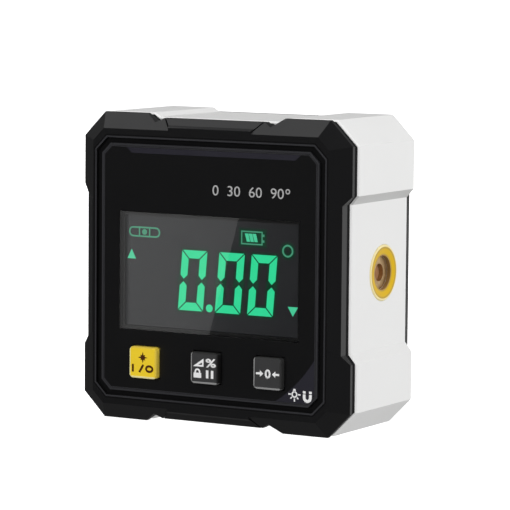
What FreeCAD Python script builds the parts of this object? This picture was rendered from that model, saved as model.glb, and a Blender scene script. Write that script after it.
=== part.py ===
# Digital inclinometer: an eight-sided angle box that stands on any of its four sides.
# Millimetres. X runs to the right, Y from the display towards the back, Z up.
# The origin lies under the middle of the box, on the surface that it stands on.

import FreeCAD, Part
import Sketcher
import os
import re

doc = FreeCAD.newDocument("Inclinometer")
sheet = doc.addObject("Spreadsheet::Sheet", "Sizes")

# Driving sizes
SIZES = {
    # Outline seen from the front
    "face_width": 59.4,
    "face_height": 59.85,
    "corner_cut": 4.75,
    "ear_top_length": 9.7,
    "top_recess": 0.8,
    "top_slope_run": 1.2,
    "notch_run": 2.5,
    "notch_depth": 1.7,
    "notch_inner_run": 1.6,
    "ear_side_length": 9.4,
    "side_recess": 1.5,
    "side_slope_run": 1.7,
    # Stack from front to back
    "key_proud": 1.3,
    "bezel_depth": 3.4,
    "seal_thickness": 1.65,
    "housing_depth": 22.7,
    "plate_proud": 0.8,
    # Front bezel
    "ear_flat": 0.8,
    "bevel_run_side": 3.6,
    "bevel_run_top": 3.08,
    "bevel_corner_cut": 2.4,
    "middle_bevel_run": 1.73,
    "seam_from_ear": 4.5,
    "seam_lean": 1.6,
    "seam_width": 0.35,
    "waist_bevel_run": 1.95,
    "waist_bevel_depth": 1.55,
    "waist_end_run": 1.0,
    "groove_inset_side": 4.4,
    "groove_inset_top": 4.83,
    "groove_corner_cut": 2.4,
    "groove_depth": 0.6,
    "seal_recess": 0.4,
    "seal_gap": 0.05,
    "spigot_gap": 0.2,
    "spigot_wall": 0.9,
    "spigot_length": 1.5,
    # Front panel and display
    "panel_inset_side": 6.1,
    "panel_inset_top": 6.33,
    "panel_corner_cut": 1.7,
    "panel_thickness": 0.8,
    "panel_gap": 0.05,
    "panel_bed": 1.0,
    "window_side_margin": 3.65,
    "window_top_margin": 12.65,
    "window_key_gap": 6.15,
    "window_ledge": 0.7,
    "lens_gap": 0.05,
    "lcd_bed": 0.6,
    "lcd_gap": 0.2,
    "lcd_thickness": 2.0,
    "lcd_side_border": 2.45,
    "lcd_top_border": 3.15,
    "lcd_bottom_border": 0.95,
    "guide_thickness": 2.9,
    "guide_side_border": 1.05,
    "guide_end_border": 0.25,
    "led_length": 3.8,
    "led_depth": 1.0,
    "led_height": 1.5,
    "led_gap": 0.05,
    "led_place_share": 0.25,
    "strip_side_margin": 2.4,
    "strip_width": 2.0,
    "strip_inset": 0.4,
    # Keys and their switches
    "key_size": 6.1,
    "key_corner": 0.8,
    "key_bevel": 0.3,
    "key_side_margin": 9.73,
    "key_bottom_margin": 5.5,
    "key_gap": 0.12,
    "key_flange": 0.7,
    "flange_thickness": 0.6,
    "flange_gap": 0.05,
    "key_stem_radius": 1.5,
    "key_travel": 0.3,
    "plunger_proud": 0.8,
    "plunger_radius": 1.7,
    "plunger_gap": 0.08,
    "plunger_sink": 1.0,
    "switch_size": 6.0,
    "switch_height": 2.7,
    "switch_corner": 0.6,
    # Board and what is soldered on it
    "board_thickness": 1.2,
    "board_gap": 1.4,
    "board_notch": 5.6,
    "post_radius": 2.0,
    "post_side_margin": 3.6,
    "post_notch_margin": 3.8,
    "board_screw_radius": 0.85,
    "board_screw_length": 4.4,
    "board_screw_head": 1.7,
    "board_screw_head_height": 1.2,
    "board_hole_gap": 0.15,
    "thread_gap": 0.02,
    "controller_size": 10.0,
    "controller_height": 1.4,
    "controller_side_margin": 13.3,
    "controller_top_margin": 20.0,
    "sensor_width": 5.0,
    "sensor_depth": 3.0,
    "sensor_height": 1.0,
    "sensor_shift": 3.0,
    "sensor_drop": 14.0,
    "crystal_width": 5.0,
    "crystal_depth": 3.2,
    "crystal_height": 1.2,
    "crystal_shift": 9.0,
    "crystal_rise": 8.0,
    "capacitor_width": 3.2,
    "capacitor_depth": 1.6,
    "capacitor_height": 1.3,
    "capacitor_pitch": 3.4,
    "capacitor_shift": 3.0,
    "capacitor_drop": 18.0,
    "chip_corner": 0.25,
    # White housing
    "wall": 1.8,
    "inner_corner_cut": 2.4,
    "edge_chamfer": 0.3,
    "boss_inset": 3.3,
    "boss_radius": 3.4,
    "front_post_radius": 2.6,
    "front_post_length": 6.0,
    "case_screw_radius": 1.1,
    "case_screw_grip": 3.3,
    "case_screw_gap": 0.15,
    "pilot_spare": 0.4,
    "case_screw_head": 2.0,
    "case_screw_head_height": 1.2,
    "case_head_gap": 0.2,
    "case_head_sink": 1.3,
    "cross_width": 0.45,
    "cross_length": 2.1,
    "cross_depth": 0.8,
    # Laser
    "laser_back_share": 0.5705,
    "laser_rise": 0.25,
    "ring_radius": 5.4,
    "ring_bore": 3.3,
    "ring_thickness": 1.1,
    "ring_proud": 0.2,
    "ring_rim": 0.35,
    "ring_dish": 0.33,
    "ring_gap": 0.05,
    "laser_boss_radius": 4.7,
    "laser_boss_length": 6.5,
    "barrel_radius": 3.25,
    "barrel_reach_share": 0.574,
    "barrel_bore": 2.5,
    "barrel_front": 0.9,
    "aperture_radius": 1.7,
    "laser_lens_thickness": 1.6,
    "laser_piece_gap": 0.05,
    "diode_radius": 1.6,
    "diode_length": 2.4,
    "laser_board_radius": 2.9,
    "laser_board_thickness": 0.8,
    # Magnets in the foot faces
    "magnet_margin": 0.85,
    "magnet_thickness": 2.0,
    "magnet_sink": 0.05,
    "magnet_gap": 0.05,
    "magnet_place_share": 0.28,
    # Rear cover, battery tray and door
    "plate_corner_cut": 3.8,
    "cover_lip": 1.2,
    "tray_side_gap": 0.45,
    "tray_end_gap": 2.5,
    "tray_wall": 1.2,
    "tray_gap": 0.3,
    "tray_clear": 0.1,
    "cell_radius": 5.25,
    "nub_length": 1.0,
    "nub_radius": 1.9,
    "cell_pitch": 11.0,
    "cell_cover_gap": 0.9,
    "contact_thickness": 0.4,
    "contact_width": 8.0,
    "dimple_height": 0.5,
    "dimple_radius": 1.5,
    "leaf_height": 4.0,
    "leaf_thickness": 0.35,
    "tail_width": 3.0,
    "tail_slot_gap": 0.15,
    "door_thickness": 1.4,
    "door_ledge": 0.85,
    "door_gap": 0.2,
    "tongue_width": 5.0,
    "tongue_across": 7.0,
    "tongue_length": 1.0,
    "tongue_thickness": 0.5,
    "tongue_sink": 0.9,
    "tongue_gap": 0.2,
    "latch_width": 9.0,
    "latch_length": 8.0,
    "latch_slot": 0.8,
    "latch_bump": 0.1,
    "grip_pitch": 1.6,
    "grip_width": 0.7,
    "grip_depth": 0.3,
    "grip_length": 6.6,
    "scoop_width": 11.0,
    "scoop_depth": 0.5,
    "scoop_height": 2.0,
    # One overrun for every cut that has to run past a face
    "overrun": 1.0,
}

for row, (alias, size) in enumerate(SIZES.items(), start=1):
    sheet.set(f"A{row}", alias)
    sheet.set(f"B{row}", str(size))
    sheet.setAlias(f"B{row}", alias)
doc.recompute()


def sized(formula):
    """Write a formula of size names the way the spreadsheet reads it."""
    return re.sub(r"[a-z_]+", lambda word: "Sizes." + word.group() if word.group() in SIZES else word.group(), formula)


def value(formula):
    """What a formula of size names comes to."""
    return float(sheet.evalExpression(sized(formula)))


def bind(thing, prop, formula):
    """Tie one property of an object to a formula of size names."""
    thing.setExpression(prop, sized(formula))


# Places that several pieces share. Depths are measured from the face of the panel towards the back,
# heights and widths from the middle of the face.
WIDE = "(face_width / 2)"
HIGH = "(face_height / 2)"
TOP_GAP_HALF = f"({WIDE} - corner_cut - ear_top_length)"
SIDE_GAP_HALF = f"({HIGH} - corner_cut - ear_side_length)"
TOTAL_DEPTH = "(key_proud + bezel_depth + seal_thickness + housing_depth + plate_proud)"
FACE_Y = f"(key_proud - {TOTAL_DEPTH} / 2)"
MIDDLE_Z = HIGH
BEZEL_BACK = "bezel_depth"
JOINT = "(bezel_depth + seal_thickness)"
HOUSING_BACK = f"({JOINT} + housing_depth)"
BACK = f"({HOUSING_BACK} + plate_proud)"
WAIST = f"({WIDE} - side_recess)"
MIDDLE_TOP = f"({HIGH} - top_recess)"
INNER_WIDE = f"({WAIST} - wall)"
INNER_HIGH = f"({MIDDLE_TOP} - wall)"
SPIGOT_WIDE = f"({INNER_WIDE} - spigot_gap)"
SPIGOT_HIGH = f"({INNER_HIGH} - spigot_gap)"
CAVITY_WIDE = f"({SPIGOT_WIDE} - spigot_wall)"
CAVITY_HIGH = f"({SPIGOT_HIGH} - spigot_wall)"
PANEL_WIDE = f"({WIDE} - panel_inset_side)"
PANEL_HIGH = f"({HIGH} - panel_inset_top)"
BED_BACK = "(panel_thickness + panel_bed)"
LCD_FRONT = "(panel_thickness + lcd_bed)"
LCD_BACK = f"({LCD_FRONT} + lcd_thickness)"
KEY_SPACING = f"({PANEL_WIDE} - key_side_margin)"
KEY_DROP = f"({PANEL_HIGH} - key_bottom_margin)"
WINDOW_WIDE = f"({PANEL_WIDE} - window_side_margin)"
WINDOW_TOP = f"({PANEL_HIGH} - window_top_margin)"
WINDOW_LOW = f"({KEY_DROP} - window_key_gap)"
LCD_WIDE = f"({WINDOW_WIDE} + lcd_side_border)"
LCD_TOP = f"({WINDOW_TOP} + lcd_top_border)"
LCD_LOW = f"({WINDOW_LOW} + lcd_bottom_border)"
GUIDE_WIDE = f"({WINDOW_WIDE} + guide_side_border)"
GUIDE_TOP = f"({WINDOW_TOP} + guide_end_border)"
GUIDE_LOW = f"({LCD_LOW} - lcd_gap)"
BOARD_FRONT = f"({LCD_BACK} + guide_thickness)"
BOARD_BACK = f"({BOARD_FRONT} + board_thickness)"
BOARD_WIDE = f"({INNER_WIDE} - board_gap)"
BOARD_HIGH = f"({INNER_HIGH} - board_gap)"
CONTROLLER_ACROSS = f"({BOARD_WIDE} - controller_side_margin)"
CONTROLLER_UP = f"({BOARD_HIGH} - controller_top_margin)"
POST_ACROSS = f"({BOARD_WIDE} - post_side_margin)"
POST_UP = f"({BOARD_HIGH} - board_notch - post_notch_margin)"
SWITCH_FRONT = f"({BOARD_FRONT} - switch_height)"
PLUNGER_FRONT = f"({SWITCH_FRONT} - plunger_proud)"
FLANGE_FRONT = f"({BED_BACK} + flange_gap)"
FLANGE_BACK = f"({FLANGE_FRONT} + flange_thickness)"
POST_END = f"({JOINT} + front_post_length)"
BOSS_ACROSS = f"({INNER_WIDE} - boss_inset)"
BOSS_UP = f"({INNER_HIGH} - boss_inset)"
COVER_INNER = f"({HOUSING_BACK} - cover_lip)"
SCREW_SEAT = f"({BACK} - case_head_sink)"
SCREW_TIP = f"({POST_END} - case_screw_grip)"
LASER_DEPTH = f"({JOINT} + housing_depth * laser_back_share)"
EAR_MIDDLE = f"({TOP_GAP_HALF} + ear_top_length / 2)"
MAGNET_RADIUS = "(ear_top_length / 2 - magnet_margin)"
DOOR_SEAT = f"({BACK} - door_thickness)"
CELL_DEPTH = f"({DOOR_SEAT} - cell_cover_gap - cell_radius)"
TRAY_FLOOR = f"({CELL_DEPTH} - cell_radius - tray_clear)"
TRAY_FRONT = f"({TRAY_FLOOR} - tray_wall)"
TRAY_HALF = "(cell_pitch / 2 + cell_radius + tray_gap)"
TRAY_OFFSET = f"({BOSS_ACROSS} - boss_radius - tray_side_gap - tray_wall - {TRAY_HALF})"
TRAY_RIGHT = f"({TRAY_HALF} + tray_wall - {TRAY_OFFSET})"
TRAY_HIGH = f"({INNER_HIGH} - tray_end_gap)"
PLATE_FACE = f"({TRAY_HIGH} - contact_thickness)"
CELL_LENGTH = f"(2 * {PLATE_FACE} - nub_length - leaf_height - dimple_height)"
DOOR_OPEN_HALF = f"({TRAY_HALF} + door_ledge)"
DOOR_OPEN_HIGH = f"({TRAY_HIGH} + door_ledge)"
DOOR_HIGH = f"({DOOR_OPEN_HIGH} - door_gap)"
LEFT_CELL = f"(-{TRAY_OFFSET} - cell_pitch / 2)"
RIGHT_CELL = f"(cell_pitch / 2 - {TRAY_OFFSET})"
SEAM_HALF = f"({TOP_GAP_HALF} - seam_from_ear)"
NOTCH_HALF = f"({TOP_GAP_HALF} - notch_run)"
NOTCH_INNER_HALF = f"({NOTCH_HALF} - notch_inner_run)"
TONGUE_BACK = f"({BACK} - tongue_sink)"
CORNERS = [(1, 1), (-1, 1), (-1, -1), (1, -1)]


def body(label):
    """A new body whose depths count from the face and whose heights count from mid height."""
    made = doc.addObject("PartDesign::Body", label)
    made.Label = label
    made.AllowCompound = True
    bind(made, "Placement.Base.y", FACE_Y)
    bind(made, "Placement.Base.z", MIDDLE_Z)
    return made


def sketch_on(owner, role, offset):
    """An empty sketch on one of the body's own planes, moved along the plane's normal by a formula."""
    plane = [item for item in owner.Origin.OriginFeatures if item.Role == role][0]
    sketch = owner.newObject("Sketcher::SketchObject", owner.Label + "_sketch")
    sketch.AttachmentSupport = [(plane, "")]
    sketch.MapMode = "FlatFace"
    bind(sketch, "AttachmentOffset.Base.z", offset)
    return sketch


def place_point(sketch, index, position, across, up):
    """Tie one point of the sketch to its two formulas."""
    for direction, formula in (("DistanceX", across), ("DistanceY", up)):
        tie = Sketcher.Constraint(direction, -1, 1, index, position, value(formula))
        number = sketch.addConstraint(tie)
        bind(sketch, f"Constraints[{number}]", formula)


def add_polygon(sketch, points):
    """A closed polygon whose corners are pairs of formulas."""
    first = sketch.GeometryCount
    count = len(points)
    spots = [FreeCAD.Vector(value(across), value(up), 0) for across, up in points]
    for index, spot in enumerate(spots):
        sketch.addGeometry(Part.LineSegment(spot, spots[(index + 1) % count]))
    for index in range(count):
        following = first + (index + 1) % count
        sketch.addConstraint(Sketcher.Constraint("Coincident", first + index, 2, following, 1))
    for index, (across, up) in enumerate(points):
        place_point(sketch, first + index, 1, across, up)


def add_circle(sketch, across, up, radius):
    """A circle with its centre and radius tied to formulas."""
    index = sketch.GeometryCount
    centre = FreeCAD.Vector(value(across), value(up), 0)
    sketch.addGeometry(Part.Circle(centre, FreeCAD.Vector(0, 0, 1), value(radius)))
    place_point(sketch, index, 3, across, up)
    number = sketch.addConstraint(Sketcher.Constraint("Radius", index, value(radius)))
    bind(sketch, f"Constraints[{number}]", radius)


def front_sketch(owner, depth, polygons=(), circles=()):
    """A sketch that faces the front at a depth behind the face."""
    sketch = sketch_on(owner, "XZ_Plane", f"-({depth})")
    for points in polygons:
        add_polygon(sketch, points)
    for across, up, radius in circles:
        add_circle(sketch, across, up, radius)
    doc.recompute()
    return sketch


def check_change(feature, before, grows):
    """Stop if a feature has left the solid as it was."""
    doc.recompute()
    change = feature.Shape.Volume - before
    if (change > 0) != grows or change == 0:
        raise RuntimeError(f"{feature.Name} changed the volume by {change}")


def volume_of(owner):
    """Volume of a body so far."""
    return owner.Shape.Volume if owner.Tip else 0.0


def pad(owner, sketch, length, along_normal=False):
    """Add material from the sketch, towards the back, or along the normal of its plane."""
    before = volume_of(owner)
    feature = owner.newObject("PartDesign::Pad", owner.Label + "_pad")
    feature.Profile = sketch
    feature.Reversed = not along_normal
    bind(feature, "Length", length)
    sketch.Visibility = False
    check_change(feature, before, True)
    return feature


def pocket(owner, sketch, length, along_normal=False):
    """Cut material away from the sketch, towards the back, or along the normal of its plane."""
    before = volume_of(owner)
    feature = owner.newObject("PartDesign::Pocket", owner.Label + "_pocket")
    feature.Profile = sketch
    feature.Reversed = along_normal
    bind(feature, "Length", length)
    sketch.Visibility = False
    check_change(feature, before, False)
    return feature


def loft(owner, front, back):
    """Add the straight-sided form between two sketches."""
    before = volume_of(owner)
    feature = owner.newObject("PartDesign::AdditiveLoft", owner.Label + "_loft")
    feature.Profile = front
    feature.Sections = [back]
    feature.Ruled = True
    check_change(feature, before, True)
    return feature


def slab(owner, near, far, polygons=(), circles=()):
    """Add outlines from one depth to a deeper one."""
    return pad(owner, front_sketch(owner, near, polygons, circles), f"({far}) - ({near})")


def cut(owner, near, far, polygons=(), circles=()):
    """Cut outlines away from one depth to a deeper one."""
    return pocket(owner, front_sketch(owner, near, polygons, circles), f"({far}) - ({near})")


def edges_like(feature, test):
    """Names of the feature's edges that pass a test."""
    named = enumerate(feature.Shape.Edges, start=1)
    return [f"Edge{number}" for number, edge in named if test(edge)]


def soften(owner, kind, size, test):
    """Round or chamfer the edges of the body's last feature that pass a test."""
    base = owner.Tip
    feature = owner.newObject("PartDesign::" + kind, owner.Label + "_" + kind.lower())
    feature.Base = (base, edges_like(base, test))
    bind(feature, "Radius" if kind == "Fillet" else "Size", size)
    doc.recompute()
    return feature


def runs_deep(edge):
    """Whether an edge is a straight one that runs from front to back."""
    start, end = edge.Vertexes[0].Point, edge.Vertexes[-1].Point
    return len(edge.Vertexes) == 2 and abs(start.x - end.x) + abs(start.z - end.z) < Part.Precision.confusion()


def box_outline(left, right, low, top):
    """Corners of an upright rectangle."""
    return [(left, low), (right, low), (right, top), (left, top)]


def around(wide, high):
    """Corners of a rectangle centred on the face."""
    return box_outline(f"-({wide})", wide, f"-({high})", high)


def square_at(across, up, half):
    """Corners of a square about a point."""
    return box_outline(f"({across}) - ({half})", f"({across}) + ({half})", f"({up}) - ({half})", f"({up}) + ({half})")


def four_way(quarter):
    """Outline that repeats a quarter, given from the top middle to the right middle, in all four quarters."""
    right_top = list(quarter)
    right_low = [(across, f"-({up})") for across, up in reversed(quarter)]
    left_low = [(f"-({across})", f"-({up})") for across, up in quarter]
    left_top = [(f"-({across})", up) for across, up in reversed(quarter)]
    return right_top + right_low + left_low + left_top


def cut_corners(wide, high, corner):
    """Eight-sided outline: a rectangle with its corners cut at 45 degrees."""
    return four_way([(f"({wide}) - ({corner})", high), (wide, f"({high}) - ({corner})")])


def housing_outline():
    """Outline of the white housing: corner ears that step down to the sunk middles."""
    return four_way([
        (f"{TOP_GAP_HALF} - top_slope_run", MIDDLE_TOP),
        (TOP_GAP_HALF, HIGH),
        (f"{WIDE} - corner_cut", HIGH),
        (WIDE, f"{HIGH} - corner_cut"),
        (WIDE, SIDE_GAP_HALF),
        (WAIST, f"{SIDE_GAP_HALF} - side_slope_run"),
    ])


def notched_outline(inset):
    """Outline of the bezel, with a V notch beside each top and bottom ear, drawn in by an inset."""
    return four_way([
        (NOTCH_INNER_HALF, f"{MIDDLE_TOP} - ({inset})"),
        (NOTCH_HALF, f"{HIGH} - notch_depth - ({inset})"),
        (TOP_GAP_HALF, f"{HIGH} - ({inset})"),
        (f"{WIDE} - corner_cut - ({inset}) / 2", f"{HIGH} - ({inset})"),
        (f"{WIDE} - ({inset})", f"{HIGH} - corner_cut - ({inset}) / 2"),
        (f"{WIDE} - ({inset})", SIDE_GAP_HALF),
        (f"{WAIST} - ({inset})", f"{SIDE_GAP_HALF} - side_slope_run"),
    ])


def key_places():
    """The three key centres, left to right."""
    return [(f"-{KEY_SPACING}", f"-{KEY_DROP}"), ("0", f"-{KEY_DROP}"), (KEY_SPACING, f"-{KEY_DROP}")]


def corner_places(across, up):
    """A point repeated in the four corners."""
    return [(f"{side} * ({across})", f"{level} * ({up})") for side, level in CORNERS]


BOSS_PLACES = corner_places(BOSS_ACROSS, BOSS_UP)
POST_PLACES = corner_places(POST_ACROSS, POST_UP)


def circles_at(places, radius):
    """One circle of a radius at each place."""
    return [(across, up, radius) for across, up in places]


def make_front_bezel():
    """Black frame: four bevelled ears, sunk middles, a seat for the panel and the posts behind it."""
    bezel = body("front_bezel")
    bevel_back = f"({BEZEL_BACK} - ear_flat)"
    face = cut_corners(f"{WIDE} - bevel_run_side", f"{HIGH} - bevel_run_top", "bevel_corner_cut")
    front = front_sketch(bezel, "0", [face])
    back = front_sketch(bezel, bevel_back, [cut_corners(WIDE, HIGH, "corner_cut")])
    loft(bezel, front, back)
    slab(bezel, bevel_back, BEZEL_BACK, [cut_corners(WIDE, HIGH, "corner_cut")])

    # The middles of the top and bottom are sunk, with a V notch at each end
    edge = f"({HIGH} + overrun)"
    for level in (1, -1):
        line = [(f"{TOP_GAP_HALF} + overrun", edge), (TOP_GAP_HALF, HIGH), (NOTCH_HALF, f"{HIGH} - notch_depth"),
                (NOTCH_INNER_HALF, MIDDLE_TOP)]
        line += [(f"-({across})", up) for across, up in reversed(line)]
        cut(bezel, "-overrun", f"{BEZEL_BACK} + overrun", [[(across, f"{level} * ({up})") for across, up in line]])
    # The waists at the two sides are sunk with sloping ends
    edge = f"({WIDE} + overrun)"
    for side in (1, -1):
        line = [(edge, f"{SIDE_GAP_HALF} + side_slope_run"), (WIDE, SIDE_GAP_HALF),
                (WAIST, f"{SIDE_GAP_HALF} - side_slope_run")]
        line += [(across, f"-({up})") for across, up in reversed(line)]
        cut(bezel, "-overrun", f"{BEZEL_BACK} + overrun", [[(f"{side} * ({across})", up) for across, up in line]])

    # Each middle has a shorter bevel of its own, with leaning ends
    front = front_sketch(bezel, "0", [around(f"{SEAM_HALF} - seam_lean", f"{MIDDLE_TOP} - middle_bevel_run")])
    back = front_sketch(bezel, BEZEL_BACK, [around(SEAM_HALF, MIDDLE_TOP)])
    loft(bezel, front, back)
    waist_end = f"({SIDE_GAP_HALF} - side_slope_run)"
    front = front_sketch(bezel, "0", [around(f"{WAIST} - waist_bevel_run", f"{waist_end} - waist_end_run")])
    back = front_sketch(bezel, "waist_bevel_depth", [around(WAIST, waist_end)])
    loft(bezel, front, back)
    slab(bezel, "waist_bevel_depth", BEZEL_BACK, [around(WAIST, waist_end)])

    # Seam lines between the ears and the middles
    edge = f"({HIGH} + overrun)"
    for side, level in CORNERS:
        line = [(SEAM_HALF, MIDDLE_TOP), (f"{SEAM_HALF} - seam_lean", f"{MIDDLE_TOP} - middle_bevel_run"),
                (f"{SEAM_HALF} - seam_lean + seam_width", f"{MIDDLE_TOP} - middle_bevel_run"),
                (f"{SEAM_HALF} + seam_width", MIDDLE_TOP), (f"{SEAM_HALF} + seam_width", edge), (SEAM_HALF, edge)]
        cut(bezel, "-overrun", BEZEL_BACK, [[(f"{side} * ({across})", f"{level} * ({up})") for across, up in line]])

    # Spigot and screw posts that reach into the housing, and the hollow inside them
    spigot = cut_corners(SPIGOT_WIDE, SPIGOT_HIGH, "inner_corner_cut")
    cavity = cut_corners(CAVITY_WIDE, CAVITY_HIGH, "inner_corner_cut")
    slab(bezel, BEZEL_BACK, f"{JOINT} + spigot_length", [spigot])
    cut(bezel, BED_BACK, f"{JOINT} + spigot_length + overrun", [cavity])
    slab(bezel, BED_BACK, POST_END, circles=circles_at(BOSS_PLACES, "front_post_radius"))
    slab(bezel, BED_BACK, BOARD_FRONT, circles=circles_at(POST_PLACES, "post_radius"))
    pilots = circles_at(BOSS_PLACES, "case_screw_radius + thread_gap")
    cut(bezel, f"{SCREW_TIP} - pilot_spare", f"{POST_END} + overrun", circles=pilots)
    tip = f"({BOARD_BACK} - board_screw_length)"
    pilots = circles_at(POST_PLACES, "board_screw_radius + thread_gap")
    cut(bezel, f"{tip} - pilot_spare", f"{BOARD_FRONT} + overrun", circles=pilots)

    # Groove round the panel, the panel's seat, and the openings behind it
    groove = cut_corners(f"{WIDE} - groove_inset_side", f"{HIGH} - groove_inset_top", "groove_corner_cut")
    cut(bezel, "-overrun", "groove_depth", [groove])
    seat = cut_corners(f"{PANEL_WIDE} + panel_gap", f"{PANEL_HIGH} + panel_gap", "panel_corner_cut")
    cut(bezel, "-overrun", "panel_thickness", [seat])
    lcd_seat = box_outline(f"-({LCD_WIDE} + lcd_gap)", f"{LCD_WIDE} + lcd_gap",
                           f"-({LCD_LOW} + lcd_gap)", f"{LCD_TOP} + lcd_gap")
    cut(bezel, LCD_FRONT, f"{BED_BACK} + overrun", [lcd_seat])
    window = box_outline(f"window_ledge - {WINDOW_WIDE}", f"{WINDOW_WIDE} - window_ledge",
                         f"window_ledge - {WINDOW_LOW}", f"{WINDOW_TOP} - window_ledge")
    cut(bezel, "-overrun", f"{BED_BACK} + overrun", [window])
    holes = [square_at(across, up, "key_size / 2 + key_gap") for across, up in key_places()]
    cut(bezel, "-overrun", f"{BED_BACK} + overrun", holes)
    return bezel


def make_seal_ring():
    """Dark rubber ring between bezel and housing, a little smaller than both."""
    ring = body("seal_ring")
    inner = cut_corners(f"{SPIGOT_WIDE} + seal_gap", f"{SPIGOT_HIGH} + seal_gap", "inner_corner_cut")
    slab(ring, BEZEL_BACK, JOINT, [notched_outline("seal_recess"), inner])
    return ring


def make_front_panel():
    """Glossy panel with the display opening and three key openings."""
    panel = body("front_panel")
    window = box_outline(f"-{WINDOW_WIDE}", WINDOW_WIDE, f"-{WINDOW_LOW}", WINDOW_TOP)
    slab(panel, "0", "panel_thickness", [cut_corners(PANEL_WIDE, PANEL_HIGH, "panel_corner_cut"), window])
    holes = [square_at(across, up, "key_size / 2 + key_gap") for across, up in key_places()]
    cut(panel, "-overrun", "panel_thickness + overrun", holes)
    return panel


def make_display():
    """Lens, liquid crystal cell, light guide, its two lamps and the contact strip to the board."""
    lens = body("display_lens")
    slab(lens, "0", "panel_thickness", [box_outline(f"lens_gap - {WINDOW_WIDE}", f"{WINDOW_WIDE} - lens_gap",
                                                    f"lens_gap - {WINDOW_LOW}", f"{WINDOW_TOP} - lens_gap")])
    cell = body("lcd_glass")
    slab(cell, LCD_FRONT, LCD_BACK, [box_outline(f"-{LCD_WIDE}", LCD_WIDE, f"-{LCD_LOW}", LCD_TOP)])
    guide = body("backlight_guide")
    slab(guide, LCD_BACK, BOARD_FRONT, [box_outline(f"-{GUIDE_WIDE}", GUIDE_WIDE, f"-{GUIDE_LOW}", GUIDE_TOP)])
    lamps = body("backlight_leds")
    near = f"({GUIDE_WIDE} + led_gap)"
    outlines = []
    for side in (1, -1):
        middle = f"(({GUIDE_TOP} - {GUIDE_LOW}) / 2 + {side} * ({GUIDE_TOP} + {GUIDE_LOW}) * led_place_share)"
        outlines.append(box_outline(near, f"{near} + led_depth", f"{middle} - led_length / 2",
                                    f"{middle} + led_length / 2"))
    slab(lamps, f"{BOARD_FRONT} - led_height", BOARD_FRONT, outlines)
    strip = body("lcd_connector")
    strip_top = f"({LCD_TOP} - strip_inset)"
    slab(strip, LCD_BACK, BOARD_FRONT, [box_outline(f"strip_side_margin - {LCD_WIDE}",
                                                    f"{LCD_WIDE} - strip_side_margin",
                                                    f"{strip_top} - strip_width", strip_top)])
    return [lens, cell, guide, lamps, strip]


def make_key(label, place):
    """Square cap with bevelled front edges, a flange that keeps it in and a stem for its switch."""
    key = body(label)
    across, up = place
    slab(key, "-key_proud", FLANGE_BACK, [square_at(across, up, "key_size / 2")])
    soften(key, "Fillet", "key_corner", runs_deep)
    front = value("-key_proud")
    soften(key, "Chamfer", "key_bevel", lambda edge: all(
        abs(point.Point.y - front) < Part.Precision.confusion() for point in edge.Vertexes))
    slab(key, FLANGE_FRONT, FLANGE_BACK, [square_at(across, up, "key_size / 2 + key_flange")])
    slab(key, FLANGE_BACK, PLUNGER_FRONT, circles=[(across, up, "key_stem_radius")])
    return key


def make_switch(label, place):
    """Body of one tact switch, with the bore that its plunger slides in."""
    switch = body(label)
    across, up = place
    slab(switch, SWITCH_FRONT, BOARD_FRONT, [square_at(across, up, "switch_size / 2")])
    soften(switch, "Fillet", "switch_corner", runs_deep)
    floor = f"{SWITCH_FRONT} + plunger_sink + 2 * key_travel"
    cut(switch, f"{SWITCH_FRONT} - overrun", floor, circles=[(across, up, "plunger_radius + plunger_gap")])
    return switch


def make_plunger(label, place):
    """Round plunger of one tact switch."""
    plunger = body(label)
    slab(plunger, PLUNGER_FRONT, f"{SWITCH_FRONT} + plunger_sink", circles=[(*place, "plunger_radius")])
    return plunger


def make_board():
    """Circuit board with notched corners, and the parts soldered on its back."""
    board = body("main_board")
    slab(board, BOARD_FRONT, BOARD_BACK, [four_way([
        (f"{BOARD_WIDE} - board_notch", BOARD_HIGH),
        (f"{BOARD_WIDE} - board_notch", f"{BOARD_HIGH} - board_notch"),
        (BOARD_WIDE, f"{BOARD_HIGH} - board_notch"),
    ])])
    holes = circles_at(POST_PLACES, "board_screw_radius + board_hole_gap")
    cut(board, f"{BOARD_FRONT} - overrun", f"{BOARD_BACK} + overrun", circles=holes)
    made = [board]
    chips = [
        ("microcontroller", CONTROLLER_ACROSS, CONTROLLER_UP,
         "controller_size", "controller_size", "controller_height"),
        ("tilt_sensor", f"({CONTROLLER_ACROSS} - sensor_shift)", f"({CONTROLLER_UP} - sensor_drop)",
         "sensor_width", "sensor_depth", "sensor_height"),
        ("clock_crystal", f"({CONTROLLER_ACROSS} - crystal_shift)", f"({CONTROLLER_UP} + crystal_rise)",
         "crystal_width", "crystal_depth", "crystal_height"),
    ]
    for label, across, up, width, depth, height in chips:
        chip = body(label)
        outline = box_outline(f"{across} - {width} / 2", f"{across} + {width} / 2",
                              f"{up} - {depth} / 2", f"{up} + {depth} / 2")
        slab(chip, BOARD_BACK, f"{BOARD_BACK} + {height}", [outline])
        soften(chip, "Fillet", "chip_corner", runs_deep)
        made.append(chip)
    row = body("board_capacitors")
    outlines = []
    top = f"({CONTROLLER_UP} - capacitor_drop)"
    for step in (-2, -1, 0, 1, 2):
        middle = f"({CONTROLLER_ACROSS} - capacitor_shift + {step} * capacitor_pitch)"
        outlines.append(box_outline(f"{middle} - capacitor_depth / 2", f"{middle} + capacitor_depth / 2",
                                    f"{top} - capacitor_width", top))
    slab(row, BOARD_BACK, f"{BOARD_BACK} + capacitor_height", outlines)
    made.append(row)
    return made


def make_board_screws():
    """Four small screws that hold the board to the posts of the bezel."""
    screws = body("board_screws")
    tip = f"({BOARD_BACK} - board_screw_length)"
    slab(screws, tip, BOARD_BACK, circles=circles_at(POST_PLACES, "board_screw_radius"))
    heads_back = f"({BOARD_BACK} + board_screw_head_height)"
    slab(screws, BOARD_BACK, heads_back, circles=circles_at(POST_PLACES, "board_screw_head"))
    cut_cross(screws, POST_PLACES, heads_back)
    return screws


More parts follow.
